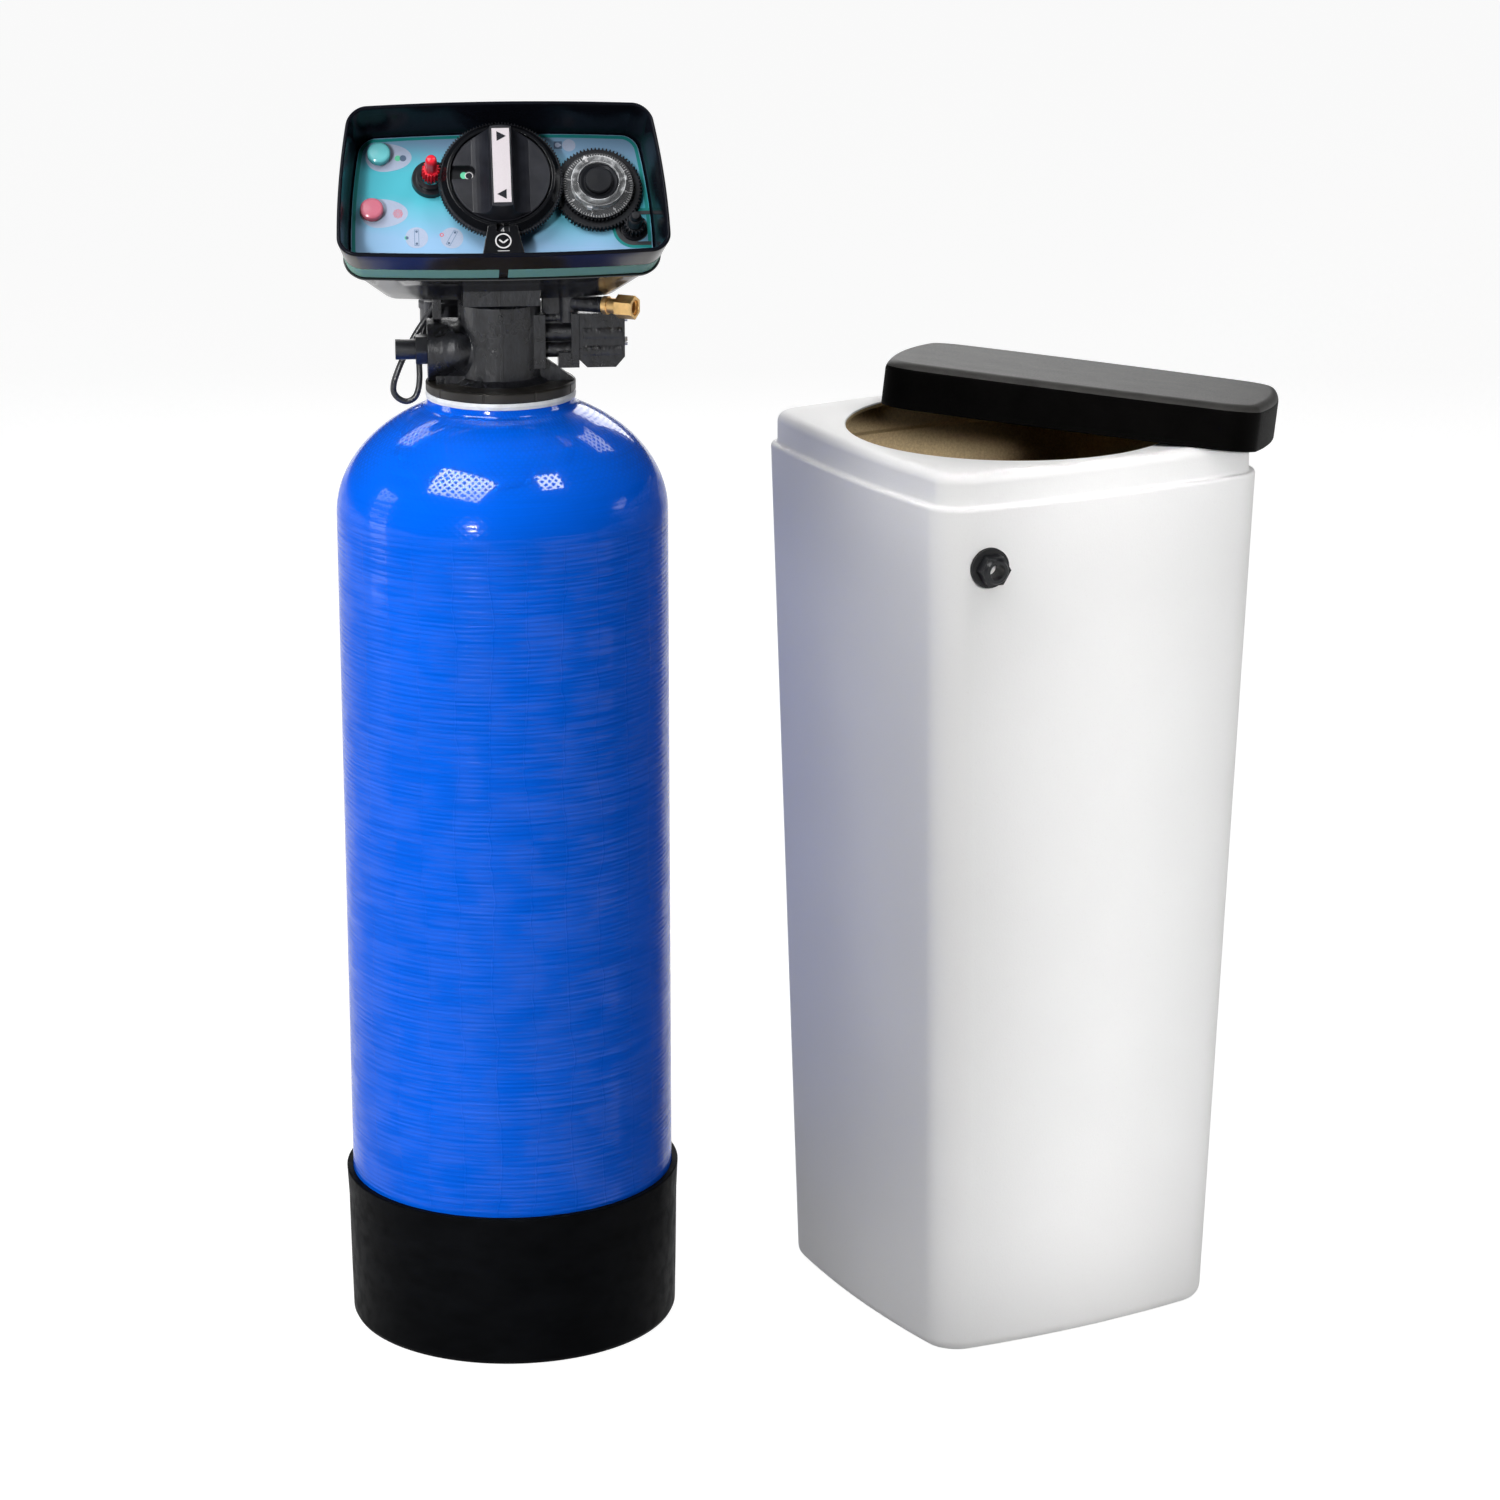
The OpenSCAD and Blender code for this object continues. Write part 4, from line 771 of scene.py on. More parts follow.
class SOFTENER_OT_stage(Operator):
    """Set the floor, the lamps, the world and the camera"""

    bl_idname = "softener.stage"
    bl_label = "Studio"

    def execute(self, context):
        scene, look = context.scene, context.scene.softener_stage
        scene.view_settings.view_transform = "Standard"
        mesh = bpy.data.meshes.new("floor")
        mesh.from_pydata([(-30, -30, 0), (30, -30, 0), (30, 30, 0), (-30, 30, 0)], [], [(0, 1, 2, 3)])
        floor = linked("floor", mesh)
        f = Finish("pale_floor")
        # The camera and mirrored rays see a white floor, and the object is lit by a grey one
        rays = [f.node("LightPath", out=name)
                for name in ("Is Camera Ray", "Is Transmission Ray", "Is Glossy Ray")]
        seen = f.node("Math", {"operation": "ADD", "use_clamp": True},
                      {0: rays[0] + rays[1], 1: rays[2]})
        lit = f.node("BsdfDiffuse", sockets={"Color": (look.floor, look.floor, look.floor, 1)})
        soft = f.node("BsdfDiffuse", sockets={"Color": (0.25, 0.25, 0.25, 1)})
        glow = f.node("Emission", sockets={"Color": (1, 1, 1, 1), "Strength": 0.94})
        pale = f.node("AddShader", sockets={0: soft, 1: glow})
        f.node("OutputMaterial", sockets={
            "Surface": f.node("MixShader", sockets={0: seen, 1: lit, 2: pale})})
        mesh.materials.append(f.material)
        world = bpy.data.worlds.new("studio")
        scene.world = world
        world.use_nodes = True
        air = world.node_tree.nodes["Background"].inputs
        air["Color"].default_value, air["Strength"].default_value = (1.0, 0.985, 0.97, 1), 0.03
        lamps = (
            ("key_lamp", (-0.75, -2.2, 1.0), (-0.04, 0.0, 0.5), 0.3, 1.0, 10, look.key),
            ("tank_lamp", (1.3, -2.4, 1.1), (0.47, -0.06, 0.45), 0.3, 0.9, 8, look.key),
            ("left_lamp", (-1.7, 0.0, 0.8), (0.0, 0.0, 0.55), 0.5, 1.3, 70, look.side),
            ("right_lamp", (2.0, 0.12, 0.75), (0.42, 0.0, 0.42), 0.5, 1.0, 60, look.side * 0.55),
            ("top_lamp", (-0.80, -0.95, 2.35), (0.0, 0.0, 0.7), 1.36, 0.9, 180, look.top),
            ("tank_top_lamp", (0.95, -0.7, 2.3), (0.45, 0.0, 0.7), 0.5, 0.5, 180, look.top * 0.22),
            ("back_lamp", (0.05, 1.25, 2.1), (0.05, 0.0, 0.7), 2.8, 0.5, 180, look.top * 0.3),
            ("rear_fill_lamp", (0.2, 3.0, 1.7), (0.2, 0.0, 0.45), 2.0, 1.2, 180, look.top * 0.8),
        )
        for name, place, target, wide, high, spread, power in lamps:
            data = bpy.data.lights.new(name, "AREA")
            data.shape, data.size, data.size_y, data.energy = "RECTANGLE", wide, high, power
            data.spread = radians(spread)
            lamp = linked(name, data)
            lamp.location = place
            lamp.rotation_euler = (Vector(target) - Vector(place)).to_track_quat("-Z", "Y").to_euler()
        eye = bpy.data.cameras.new("photo_view")
        eye.lens, eye.sensor_width, eye.clip_end = 111.06, 36.0, 60.0
        camera = linked("photo_view", eye)
        camera.location = (0.17894, -3.5, 1.5)
        camera.rotation_euler = (radians(73.58), 0.0, radians(-0.214))
        scene.camera = camera
        return {"FINISHED"}


class SOFTENER_OT_meter_cable(Operator):
    """Hang the meter cable from the head's gland to the meter's nipple"""

    bl_idname = "softener.meter_cable"
    bl_label = "Meter cable"

    def execute(self, context):
        z = VALVE_Z
        gland = VALVE.inverted() @ HEAD @ (Vector((-40, -28, REAR_Z - 2)) * MM) / MM
        knots = [gland + Vector(p) for p in ((0, 0, 0), (0, 4, -2.7), (-1, 11, -9), (-4, 18, -18))]
        # Down behind the strap, round a loop and up to the meter's nipple
        knots += [Vector(p) for p in (
            (-48, 15, z + 57), (-55, 18, z + 46), (-62, 18, z + 36), (-68, 17, z + 26), (-74, 15, z + 15),
            (-79, 13, z + 4), (-82, 12, z - 5), (-82, 12, z - 12), (-78, 12, z - 17), (-72, 12, z - 19),
            (-66, 12, z - 16), (-63, 13, z - 9), (-62, 14, z), (-62, 17, z + 10), (-61, 21, z + 19),
            (-59, 26, z + 28), (-56, 31, z + 37), (-53, 33, z + 43), (-53, 33, z + 45.4))]
        # A smooth curve through the knots, each span taken with its neighbours
        way = []
        for i in range(len(knots) - 1):
            a, b, c, d = (knots[max(0, min(len(knots) - 1, i + k))] for k in (-1, 0, 1, 2))
            for t in (0, 0.25, 0.5, 0.75):
                way.append(0.5 * (2 * b + (c - a) * t + (2 * a - 5 * b + 4 * c - d) * t ** 2
                                  + (3 * b - a - 3 * c + d) * t ** 3))
        way = [VALVE @ (p * MM) for p in way + [knots[-1]]]
        curve = bpy.data.curves.new("meter_cable_lead", "CURVE")
        curve.dimensions, curve.bevel_depth, curve.bevel_resolution = "3D", CABLE_R * MM, 4
        curve.use_fill_caps = True
        line = curve.splines.new("POLY")
        line.points.add(len(way) - 1)
        for point, place in zip(line.points, way):
            point.co = (*place, 1)
        curve.materials.append(cable_finish())
        lead = linked("meter_cable_lead", curve)
        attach(lead, "unit")
        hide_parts("meter_cable")
        return {"FINISHED"}


class SOFTENER_OT_vessel(Operator):
    """Wind the vessel's shell and finish the boot, neck ring and adapter"""

    bl_idname = "softener.vessel"
    bl_label = "Resin vessel"

    def execute(self, context):
        look = context.scene.softener_vessel
        low = 10 + FOOT_RISE
        side_z = NECK_TOP - 13 - DOME_RISE * sqrt(1 - ((NECK_R + 5) / VESSEL_R) ** 2)

        def dome(r, rise, stop, count):
            return [(r * c, side_z + rise * s) for c, s in steps(acos(stop / r), count)]

        def foot(r, rise, count):
            return [(r * s, low - rise * c) for c, s in steps(pi / 2, count)]

        outer = dome(VESSEL_R, DOME_RISE, NECK_R + 5, 40)
        top, collar = NECK_TOP - 5, outer[-1][1]
        inner_r = VESSEL_R - VESSEL_WALL
        profile = foot(VESSEL_R, FOOT_RISE, 24)
        profile += [(VESSEL_R, low + (side_z - low) * i / 24) for i in range(1, 24)]
        profile += outer
        profile += [(NECK_R + 3.4, collar + 0.8), (NECK_R + 2, collar + 2), (NECK_R + 1.1, collar + 3.2),
                    (NECK_R + 0.5, collar + 4.5), (NECK_R, top), (NECK_BORE, top)]
        profile += dome(inner_r, DOME_RISE - VESSEL_WALL, NECK_BORE, 16)[::-1]
        profile += foot(inner_r, FOOT_RISE - VESSEL_WALL, 12)[::-1]
        mesh = build_mesh(*revolve(profile, look.segments), Matrix())
        add_piece("vessel_winding", mesh, "unit", [wound_finish(tuple(look.blue), look.strand)],
                  ["vessel_shell"], 40)
        dress(moulded_black("boot_black", (0.0030, 0.0033, 0.0040), 0.0009, 0.50, 0.02), "base_boot")
        dress(plain_plastic("neck_white", (0.80, 0.82, 0.84), 0.42), "neck_insert")
        dress(moulded_black("adapter_brown", (0.016, 0.014, 0.012), 0.0012, 0.42, 0.35), "adapter_base")
        return {"FINISHED"}


class SOFTENER_OT_valve(Operator):
    """Finish the control valve, its fittings and its fasteners"""

    bl_idname = "softener.valve"
    bl_label = "Control valve"

    def execute(self, context):
        body = crinkled_black("valve_black", (0.015, 0.016, 0.020))
        dress(body, "valve_body", "yoke_block", "support_strap", "injector_body", "injector_cover",
              "brine_valve", "cable_gland")
        # Web between the barrel and the brine valve
        rings = [level(outline(7.0 - less, 7.5 - less, 2.0, 0.3), z)
                 for z, less in ((-3.5, 0.8), (-2.7, 0.0), (2.7, 0.0), (3.5, 0.8))]
        web = build_mesh(*skin(rings, False), VALVE @ spot(39, -8, VALVE_Z + 59) @ turn(90, "X"))
        add_piece("brine_web", web, "unit", [body], sharp=40)
        dress(moulded_black("fitting_black", (0.012, 0.013, 0.016), 0.0010, 0.36, 0.5),
              "drain_hex", "drain_nut")
        dress(moulded_black("meter_black", (0.022, 0.023, 0.028), 0.0009, 0.42, 0.5), "meter_dome")
        dress(metal("brass", (1.0, 0.66, 0.28), 0.34, (60, 60, 900)), "brine_fitting", "brine_nut")
        dress(metal("screw_steel", (0.62, 0.62, 0.63), 0.28, (700, 60, 60)), "injector_screws")
        return {"FINISHED"}


class SOFTENER_OT_covers(Operator):
    """Form the head's polished covers and the stripe under the front one"""

    bl_idname = "softener.covers"
    bl_label = "Head covers"

    def front_ring(self, z, less, side=20):
        share = (z - SEAM_Z) / (FRONT_Z - SEAM_Z)
        return self.ring(HEAD_A, HEAD_B, share, z, less, 0.0, side)

    def rear_ring(self, z, less):
        share = (SEAM_Z - z) / (SEAM_Z - REAR_Z)
        return self.ring(REAR_A, REAR_B, share, z, less, REAR_LIFT * share, 20)

    def ring(self, end_a, end_b, share, z, less, lift, side):
        """Outline between the seam and one end of the head."""
        a = SEAM_A + (end_a - SEAM_A) * share - less
        b = SEAM_B + (end_b - SEAM_B) * share - less
        return level(keystone(outline(a, b, HEAD_CORNER - less, HEAD_BOW, side=side)), z, lift)

    def execute(self, context):
        black = gloss_black("cover_black", (0.0055, 0.0065, 0.011), 0.14, 0.06, True)
        # The outer wall's warm black is a painted warm reflection on the polished cover
        painted_warm_reflection = gloss_black("cover_warm_black", (0.030, 0.024, 0.018), 0.16, 0.20, True)
        rings = [self.front_ring(SEAM_Z, 0.3), self.front_ring(SEAM_Z + 0.4, 0)]
        rings += [self.front_ring(z, 0) for z in (8, 20, 32)]
        half = COVER_WALL / 2
        rings += [self.front_ring(FRONT_Z - LIP_ROUND + LIP_ROUND * s, half - half * c)
                  for c, s in steps(pi, 12)]
        rings += [self.front_ring(z, COVER_WALL) for z in (28, 12, SEAM_Z)]
        points, faces = skin(rings, True)
        # The outer wall is a warmer black than the lip and the inside, a painted warm reflection
        marks = [1 if i < 5 * len(rings[0]) else 0 for i in range(len(faces))]
        add_piece("front_cover_shell", build_mesh(points, faces, HEAD, marks), "unit", [black, painted_warm_reflection],
                  ["front_cover"], 40)
        rings = [self.rear_ring(REAR_Z + REAR_ROUND - REAR_ROUND * c, REAR_ROUND - REAR_ROUND * s)
                 for c, s in steps(pi / 2, 8)]
        rings += [self.rear_ring(z, 0) for z in (-50, -30, SEAM_Z - LIP_T - 0.5)]
        lip = SEAM_Z - LIP_T
        rings += [self.rear_ring(z, less) for z, less in (
            (lip, -0.4), (lip, -LIP_OUT + 0.4), (lip + 0.5, -LIP_OUT), (SEAM_Z - 0.5, -LIP_OUT),
            (SEAM_Z, -LIP_OUT + 0.5), (SEAM_Z, COVER_WALL), (REAR_Z + 9, COVER_WALL),
            (REAR_Z + COVER_WALL, 8))]
        # Openings for the valve's yoke and for the rod above it
        yoke = block((-30, -47.5, VALVE_Z + 45), (30, 72.5, VALVE_Z + 99), VALVE)
        rod = build_mesh(*revolve([(0, 832), (4.6, 832), (4.6, 893), (0, 893)], 32), VALVE)
        shell = cut_away(build_mesh(*skin(rings, False), HEAD), [yoke, rod])
        rear = gloss_black("rear_black", (0.007, 0.007, 0.009), 0.16, 0.9, True)
        add_piece("rear_cover_shell", shell, "unit", [rear], ["rear_cover"], 35)
        lines = [self.front_ring(z, less, 60)
                 for z, less in ((-3.0, 0.02), (-3.0, -0.15), (14.0, -0.15), (14.0, 0.02))]
        points, faces = [], []
        for side in (-1, 1):
            picked = [i for i, (x, y, _) in enumerate(lines[0]) if y < STRIPE_LOW and side * x > STRIPE_GAP]
            picked.sort(key=lambda i: side * lines[0][i][0] + 0.4 * lines[0][i][1])
            made, more = skin([[line[i] for line in lines] for i in picked], False)
            faces += [tuple(len(points) + i for i in face) for face in more]
            points += made
        add_piece("cover_stripe", build_mesh(points, faces, HEAD), "unit", [printed("stripe")])
        dress(moulded_black("plate_grey", (0.05, 0.05, 0.055), 0.0010, 0.45, 0.4), "back_plate")
        return {"FINISHED"}


class SOFTENER_OT_panel(Operator):
    """Print the panel: its border, button fields and signs"""

    bl_idname = "softener.panel"
    bl_label = "Panel print"

    def execute(self, context):
        look = context.scene.softener_head
        dress(panel_print(tuple(look.sky), tuple(look.teal)), "control_panel")
        p = Print(HEAD, look.ink)
        p.shape("border", keystone(outline(PANEL_A - 0.6, PANEL_B - 0.6, 10.4, HEAD_BOW)), 0.0,
                keystone(outline(PANEL_A - 3.0, PANEL_B - 3.0, 8.6, HEAD_BOW)))
        x, y = METER_AT
        for tone, r, z, inset in (("border", 16.2, 0.10, 0.6), ("dark", 14.0, 0.22, 0.0)):
            edge = PANEL_A * (1 - HEAD_KEY * y / HEAD_B) + 2.0 - inset
            rim, hole = [arc(x, y, radius, pi / 2, pi, 30) for radius in (r, METER_HOLE)]
            p.shape(tone, rim + [(edge, y - r), (edge, y - METER_HOLE)] + hole[::-1]
                    + [(edge, y + METER_HOLE), (edge, y + r)], z)
        p.egg("lilac", GREEN_AT[0] + 2.5, GREEN_AT[1] - 1, 12.5, 22.0, 11.6, 0.0)
        p.egg("lilac", RED_AT[0] + 4.0, RED_AT[1] - 1, 12.0, 23.0, 11.8, 0.0)
        p.disc("green", -75.9, 37.2, 2.3, 0.10)
        p.disc("slate", -72.0, 37.2, 2.5, 0.18)
        flower = (-77.0, -8.0)
        for petal in arc(*flower, 2.7, 0, tau, 8)[:-1]:
            p.disc("red", *petal, 1.05, 0.10, 0.7, 14)
        p.disc("red", *flower, 1.2, 0.10, 0.85, 16)
        for x, y, lean, tone in ((-63.6, -27.8, 90, "green"), (-37.3, -28.4, 61, "red")):
            way, middle = heading(lean), Vector((x, y))
            p.disc("lilac", x, y, 8.5, 0.0)
            p.bar("grey", middle - way * 6.6, middle + way * 6.6, 3.6, 0.10)
            p.bar("lilac", middle - way * 6.1, middle + way * 6.1, 2.6, 0.20)
            for end in (-4.9, 4.9):
                p.disc("slate", *(middle + way * end), 0.95, 0.30, count=16)
            if tone == "green":
                p.disc(tone, x - 7.6, y, 1.5, 0.10, count=18)
                p.disc("slate", x - 7.2, y, 1.2, 0.20, count=16)
            else:
                p.disc(tone, x - 7.6, y + 2.6, 1.5, 0.10, 0.9, 18)
        p.disc("lilac", 53.0, 46.0, 5.0, 0.0)
        p.shape("slate", [(41.6, 43.2), (47.8, 43.2), (47.8, 49.4), (41.6, 49.4)], 0.0)
        p.drop("lilac", 44.3, 46.3, 1.9, 47.0, 0.4, 0.10)
        p.finish("panel_signs", "unit", "panel_blue")
        for name, deep, pale in (("green_button", (0.008, 0.30, 0.32), (0.16, 0.56, 0.60)),
                                 ("red_button", (0.42, 0.004, 0.010), (0.60, 0.17, 0.24))):
            dress(tinted_cap(name + "_cap", deep, pale), name)
        return {"FINISHED"}


class SOFTENER_OT_knob(Operator):
    """Finish the knob, the day gear and the pointer cover, with their marks"""

    bl_idname = "softener.knob"
    bl_label = "Knob and day gear"

    def execute(self, context):
        look = context.scene.softener_head
        at = HEAD @ spot(*KNOB_AT, 0)
        dress(moulded_black("knob_black", (0.014, 0.015, 0.020), 0.0006, 0.34, 0.30), "knob")
        dress(gloss_black("pointer_black", (0.006, 0.0065, 0.008), 0.07, 0.6, False), "pointer_cover")
        dress(moulded_black("gear_grey", (0.016, 0.017, 0.021), 0.0008, 0.46, 0.2), "day_gear", "drive_gear")
        dress(moulded_black("disc_black", (0.008, 0.009, 0.011), 0.0006, 0.5, 0.15), "cycle_disc")
        dress(printed("label"), "knob_label")
        p = Print(at, look.ink)
        top = GRIP_TOP + 0.6
        for y, way in ((KNOB_R - 13.5, 1), (13.5 - KNOB_R, -1)):
            p.shape("black", [(-way * 3.0, y - 4), (way * 4.0, y), (-way * 3.0, y + 4)][::way], top)
        p.finish("knob_arrows", "knob", "label_white")
        p = Print(at, look.ink)
        p.disc("white", 0, -52.6, 6.1, RING_TOP, 5.1)
        p.bar("white", (0, -54.2), (-3.0, -51.6), 1.2, RING_TOP)
        p.bar("white", (0, -54.2), (3.6, -51.3), 1.2, RING_TOP)
        p.bar("white", (-4.4, -60.6), (4.4, -60.6), 0.5, RING_TOP)
        for angle, tone in ((174, "green"), (84, "white"), (-6, "red"), (-96, "grey")):
            near = heading(angle) * 23.8
            p.disc(tone, *heading(angle) * 27.6, 2.7, DISC_TOP)
            p.disc("black", *near, 2.9, DISC_TOP + 0.12)
            p.disc("white", *near, 3.1, DISC_TOP + 0.2, 2.5)
        p.finish("clock_sign", "unit", "label_white")
        numbers = []
        for hour in range(24):
            angle = -90 + 15 * (hour - 4)
            numbers.append((numeral(str((hour - 1) % 12 + 1), 4.6),
                            at @ turn(angle, "Z") @ spot(41.8, 0, DAY_TOP + 0.04) @ turn(90, "Z")))
        add_piece("hour_numbers", joined(numbers), "day_gear", [printed("white")])
        return {"FINISHED"}


class SOFTENER_OT_dial(Operator):
    """Finish the program wheel and print the capacity dial's ticks and numbers"""

    bl_idname = "softener.dial"
    bl_label = "Program dial"

    def execute(self, context):
        look = context.scene.softener_head
        at = HEAD @ spot(*WHEEL_AT, 0)
        white = printed("white")
        dress(moulded_black("wheel_grey", (0.012, 0.013, 0.016), 0.0008, 0.46, 0.2), "program_wheel")
        dress(moulded_black("dial_black", (0.008, 0.009, 0.011), 0.0007, 0.5, 0.12), "capacity_dial")
        dress(moulded_black("hub_black", (0.011, 0.012, 0.015), 0.0006, 0.42, 0.2),
              "pointer_hub", "pointer_cap")
        dress(clear_finish(), "capacity_pointer")
        marks = []
        for count, inset, *sizes in ((look.ticks, 1.4, 1.7, 0.26, 0.08), (16, 1.9, 2.7, 0.34, 0.09)):
            ticks = ring_marks(count, DIAL_R - inset, *sizes, 31, white)
            marks.append((ticks, at @ spot(0, 0, DIAL_TOP)))
        for i in range(8):
            marks.append((numeral(str(i + 1), 2.7), at @ turn(76 + 45 * i, "Z")
                          @ spot(DIAL_R - 4.2, 0, DIAL_TOP + 0.04) @ turn(90, "Z")))
        add_piece("dial_marks", joined(marks), "program_wheel", [white])
        p = Print(at @ turn(22, "Z"), look.ink)
        p.shape("white", [(-1.0, 20.4), (1.0, 20.4), (1.0, 23.0), (2.6, 23.0), (0, 26.2), (-2.6, 23.0),
                          (-1.0, 23.0)], POINTER_TOP)
        p.finish("pointer_arrow", "capacity_pointer", "label_white")
        grips = ring_marks(3, GLASS_OUT + 0.4, 1.8, 4.0, 4.6, 250, clear_finish())
        add_piece("pointer_grips", joined([(grips, at @ spot(0, 0, POINTER_TOP + 2.4))]), "capacity_pointer",
                  [clear_finish()])
        return {"FINISHED"}


class SOFTENER_OT_gears(Operator):
    """Finish the setting pinion, the meter pinion and their collars"""

    bl_idname = "softener.gears"
    bl_label = "Pinions"

    def execute(self, context):
        dress(tinted_cap("pinion_red", (0.60, 0.004, 0.012), (0.78, 0.02, 0.04)), "time_pinion")
        dress(gloss_black("collar_black", (0.010, 0.011, 0.014), 0.16, 0.25, False),
              "time_collar", "meter_collar")
        dress(moulded_black("pinion_black", (0.012, 0.013, 0.016), 0.0007, 0.42, 0.25), "meter_pinion")
        dress(metal("shaft_steel", (0.60, 0.60, 0.61), 0.25, (60, 60, 900)),
              "time_shaft", "wheel_pin", "piston", "timer_motor")
        return {"FINISHED"}


class SOFTENER_OT_tank(Operator):
    """Form the brine tank's white shell with its inside painted dark as shade, and finish its fittings"""

    bl_idname = "softener.tank"
    bl_label = "Brine tank"

    def ring(self, z, less):
        a = FOOT_A + (SHOULDER_A - FOOT_A) * min(z, SHOULDER_Z) / SHOULDER_Z - less
        return level(outline(a, a, max(TANK_CORNER - less, 6), TANK_BOW), z)

    def execute(self, context):
        look = context.scene.softener_tank
        top_less = BAND_STEP + TOP_ROUND
        like = outline(SHOULDER_A, SHOULDER_A, TANK_CORNER, TANK_BOW)
        rings = [self.ring(FOOT_ROUND * (1 - c), FOOT_ROUND * (1 - s)) for c, s in steps(pi / 2, 6)]
        rings += [self.ring(SHOULDER_Z * i / 12, 0) for i in range(1, 12)]
        rings += [self.ring(SHOULDER_Z + z, less) for z, less in (
            (-3, 0), (-1.7, 0.25), (-0.8, 0.8), (-0.2, 1.7), (0, 2.6), (0.2, 3.9), (0.9, 4.7),
            (2.2, BAND_STEP))]
        rings += [self.ring(TANK_H - TOP_ROUND * (1 - s), top_less - TOP_ROUND * c)
                  for c, s in steps(pi / 2, 8)]

        def mouth(r, z):
            return [(r * x / hypot(x, y), r * y / hypot(x, y), z) for x, y in like]

        rings += [mouth(MOUTH_R + more, TANK_H - drop) for more, drop in ((1.6, 0), (0.5, 0.4), (0, 1.5))]
        white_faces = (len(rings) - 1) * len(like)
        rings += [mouth(MOUTH_R, TANK_H - TANK_WALL)]
        rings += [self.ring(z, less) for z, less in (
            (TANK_H - TANK_WALL, top_less - 2), (TANK_H - TOP_ROUND, BAND_STEP + TANK_WALL),
            (SHOULDER_Z - 4, BAND_STEP + TANK_WALL), (SHOULDER_Z - 8, TANK_WALL), (500, TANK_WALL),
            (300, TANK_WALL), (120, TANK_WALL), (FOOT_ROUND + 4, TANK_WALL),
            (TANK_WALL + 2, TANK_WALL + 3), (TANK_WALL, TANK_WALL + 8))]
        points, faces = skin(rings, False)
        # White outside with the foot's face, and from the mouth's edge inwards painted dark as the shade
        # inside the tank
        marks = [0 if i < white_faces or i == len(faces) - 2 else 1 for i in range(len(faces))]
        mesh = build_mesh(points, faces, TANK, marks)
        add_piece("brine_tank_shell", mesh, "unit",
                  [tank_finish(tuple(look.white), look.grain), tank_inside(tuple(look.inside))],
                  ["brine_tank"], 40)
        dress(moulded_black("overflow_black", (0.006, 0.0065, 0.008), 0.0010, 0.34, 0.4),
              "overflow_fitting", "overflow_nut")
        dress(moulded_black("rubber_black", (0.010, 0.010, 0.011), 0.0012, 0.6, 0.3), "overflow_washer")
        dress(plain_plastic("well_ivory", (0.62, 0.58, 0.48), 0.5), "brine_well", "float")
        dress(moulded_black("cap_black", (0.012, 0.012, 0.014), 0.0010, 0.5, 0.3), "well_cap")
        return {"FINISHED"}


class SOFTENER_OT_lid(Operator):
    """Form the tank's grained lid where it lies askew"""

    bl_idname = "softener.lid"
    bl_label = "Tank lid"

    def execute(self, context):
        band = SHOULDER_A - BAND_STEP
        half = band + LID_GAP + LID_WALL
        corner = TANK_CORNER + LID_GAP + LID_WALL - 2
        # The lid's rim lies across the tank's top on one line, and its plate on the corner at the side
        front = Vector((0.56 * band, -band - 0.5))
        line = Vector((-0.14 * band, band + 0.5)) - front
        side = Vector((band - 4.4, band - 20)) - front
        tilt = atan(SKIRT / ((line.y * side.x - line.x * side.y) / line.length))
        place = TANK @ spot(front.x, front.y, TANK_H + 0.6)
        place = place @ Matrix.Rotation(tilt, 4, Vector((line.x, line.y, 0)).normalized())
        place = place @ spot(LID_AT[0] - front.x, LID_AT[1] - front.y, 0) @ turn(-38, "Z")

        def ring(z, less):
            return level(outline(half - less, half - less, corner - less, TANK_BOW), z)

        rings = [ring(z, less) for z, less in (
            (SKIRT, LID_WALL + 3), (SKIRT - 3, LID_WALL), (10, LID_WALL), (0.6, LID_WALL),
            (0, LID_WALL - 0.6), (0, 0.6), (0.6, 0), (14, 0))]
        rings += [ring(LID_H - LID_ROUND * (1 - s), LID_ROUND * (1 - c)) for c, s in steps(pi / 2, 9)]
        points, faces = skin(rings, False)
        # The rounded edge and the plate's face are greyer than the sides: the lid's black is split into a
        # lit copy with painted sheen on top and a shaded copy painted darker on the sides
        marks = [1 if i >= 10 * len(rings[0]) and i != len(faces) - 2 else 0 for i in range(len(faces))]
        lid_lit_and_shaded_blacks = [lid_finish("lid_side", (0.0018, 0.0017, 0.0016), 0.01),
                  lid_finish("lid_top", (0.030, 0.029, 0.027), 0.2)]
        add_piece("tank_lid_shell", build_mesh(points, faces, place, marks), "tank_lid", lid_lit_and_shaded_blacks,
                  ["tank_lid"], 45)
        return {"FINISHED"}


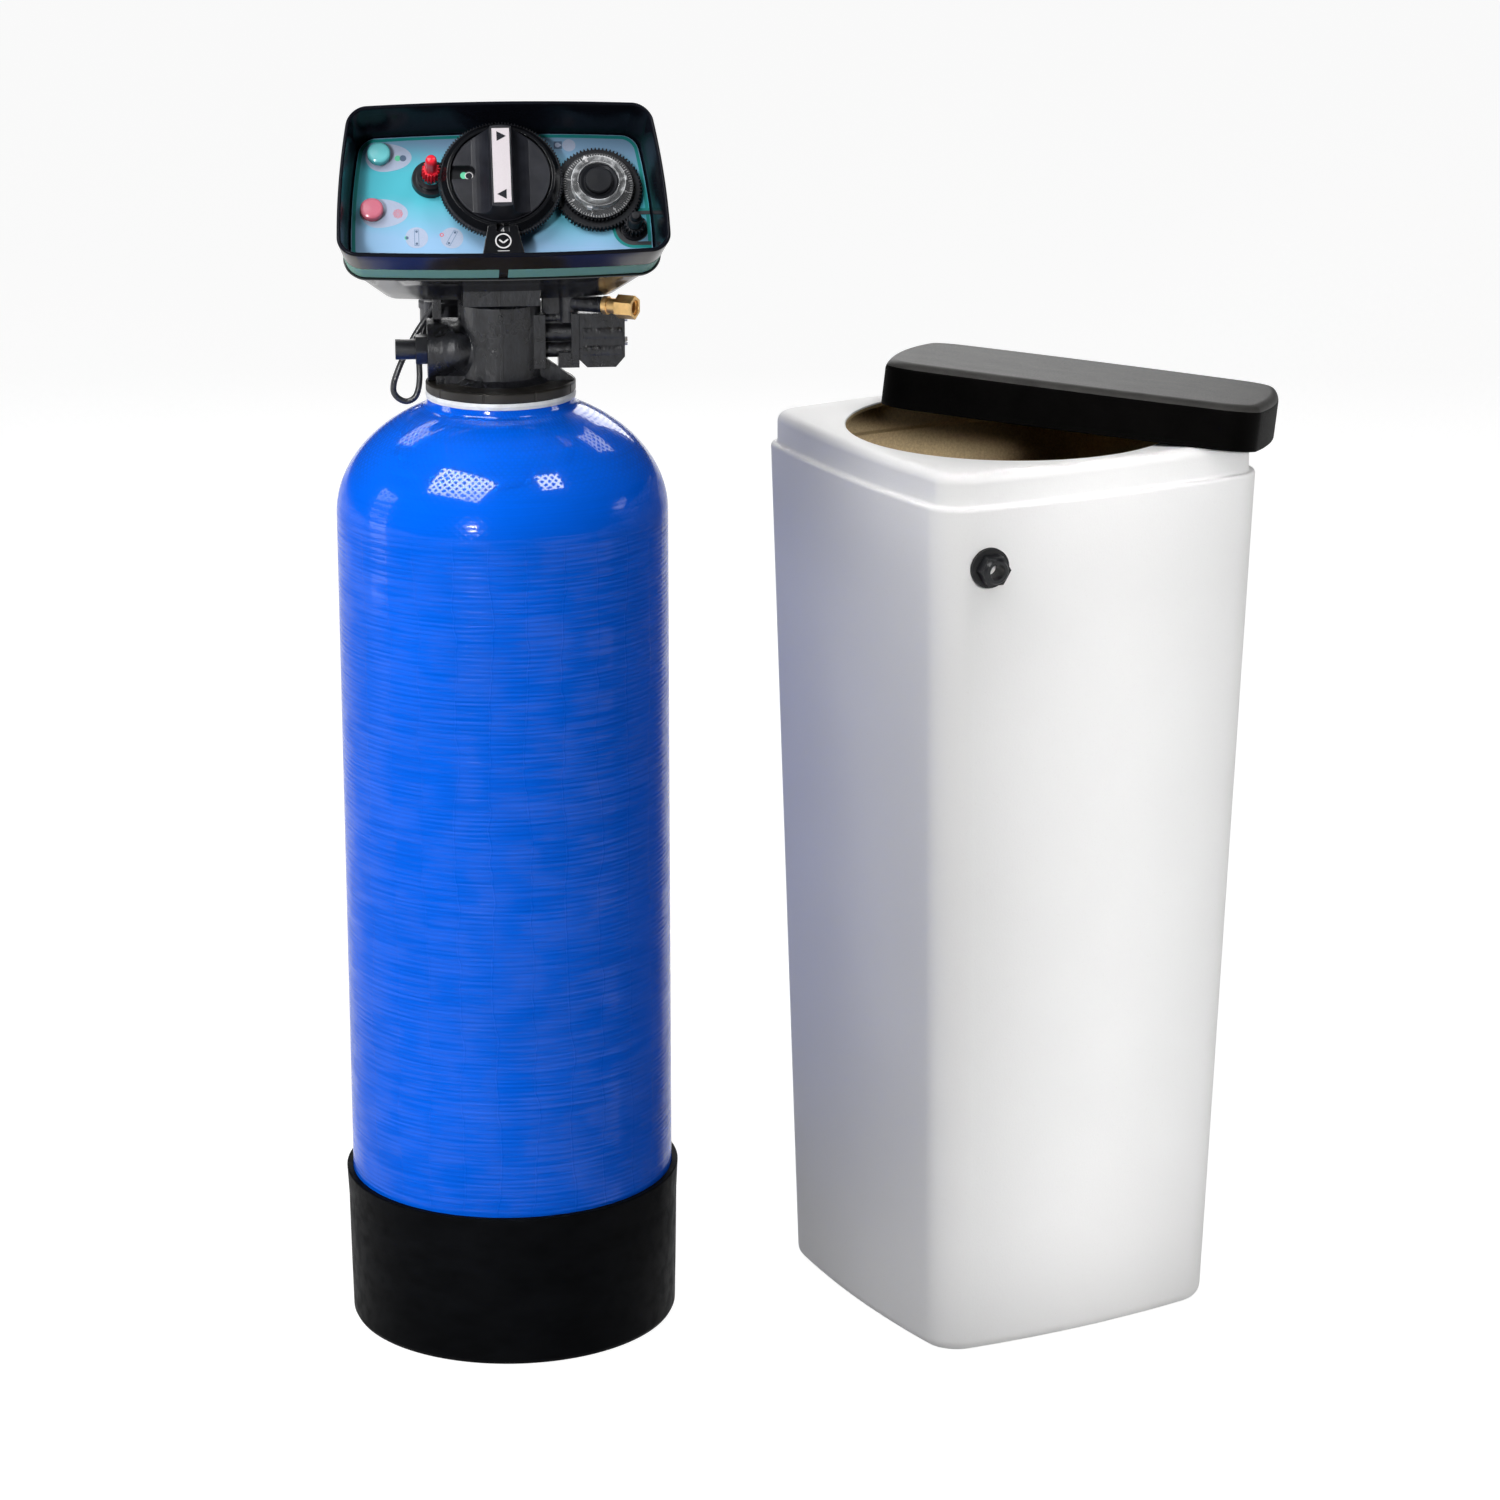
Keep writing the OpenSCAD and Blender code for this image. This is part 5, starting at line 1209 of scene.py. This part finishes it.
class SOFTENER_OT_inside(Operator):
    """Finish the pieces inside the vessel and the valve"""

    bl_idname = "softener.inside"
    bl_label = "Inner pieces"

    def execute(self, context):
        dress(bead_finish(), "resin_bed")
        dress(plain_plastic("riser_ivory", (0.70, 0.66, 0.56), 0.45), "riser_tube")
        dress(moulded_black("strainer_grey", (0.06, 0.06, 0.065), 0.0010, 0.5, 0.4), "lower_strainer",
              "upper_strainer", "end_plug")
        dress(plain_plastic("cage_white", (0.74, 0.74, 0.73), 0.4), "seal_cage")
        return {"FINISHED"}


OPERATORS = (
    SOFTENER_OT_stage, SOFTENER_OT_meter_cable, SOFTENER_OT_vessel, SOFTENER_OT_valve, SOFTENER_OT_covers,
    SOFTENER_OT_panel, SOFTENER_OT_knob, SOFTENER_OT_dial, SOFTENER_OT_gears, SOFTENER_OT_tank,
    SOFTENER_OT_lid, SOFTENER_OT_inside,
)
LOOKS = {
    "softener_vessel": VesselLook, "softener_head": HeadLook,
    "softener_tank": TankLook, "softener_stage": StageLook,
}


class SOFTENER_PT_pieces(Panel):
    """The softener's settings, and one button for each group of pieces"""

    bl_idname = "SOFTENER_PT_pieces"
    bl_label = "Water softener"
    bl_space_type = "VIEW_3D"
    bl_region_type = "UI"
    bl_category = "Softener"

    def draw(self, context):
        for key, look in LOOKS.items():
            for name in look.__annotations__:
                self.layout.prop(getattr(context.scene, key), name)
        for operator in OPERATORS:
            self.layout.operator(operator.bl_idname)


def register():
    for made in (*LOOKS.values(), *OPERATORS, SOFTENER_PT_pieces):
        bpy.utils.register_class(made)
    for key, look in LOOKS.items():
        setattr(bpy.types.Scene, key, PointerProperty(type=look))


def unregister():
    for key in LOOKS:
        delattr(bpy.types.Scene, key)
    for made in reversed((*LOOKS.values(), *OPERATORS, SOFTENER_PT_pieces)):
        bpy.utils.unregister_class(made)


def main():
    register()
    for operator in OPERATORS:
        group, name = operator.bl_idname.split(".")
        getattr(getattr(bpy.ops, group), name)()


if __name__ == "__main__":
    main()
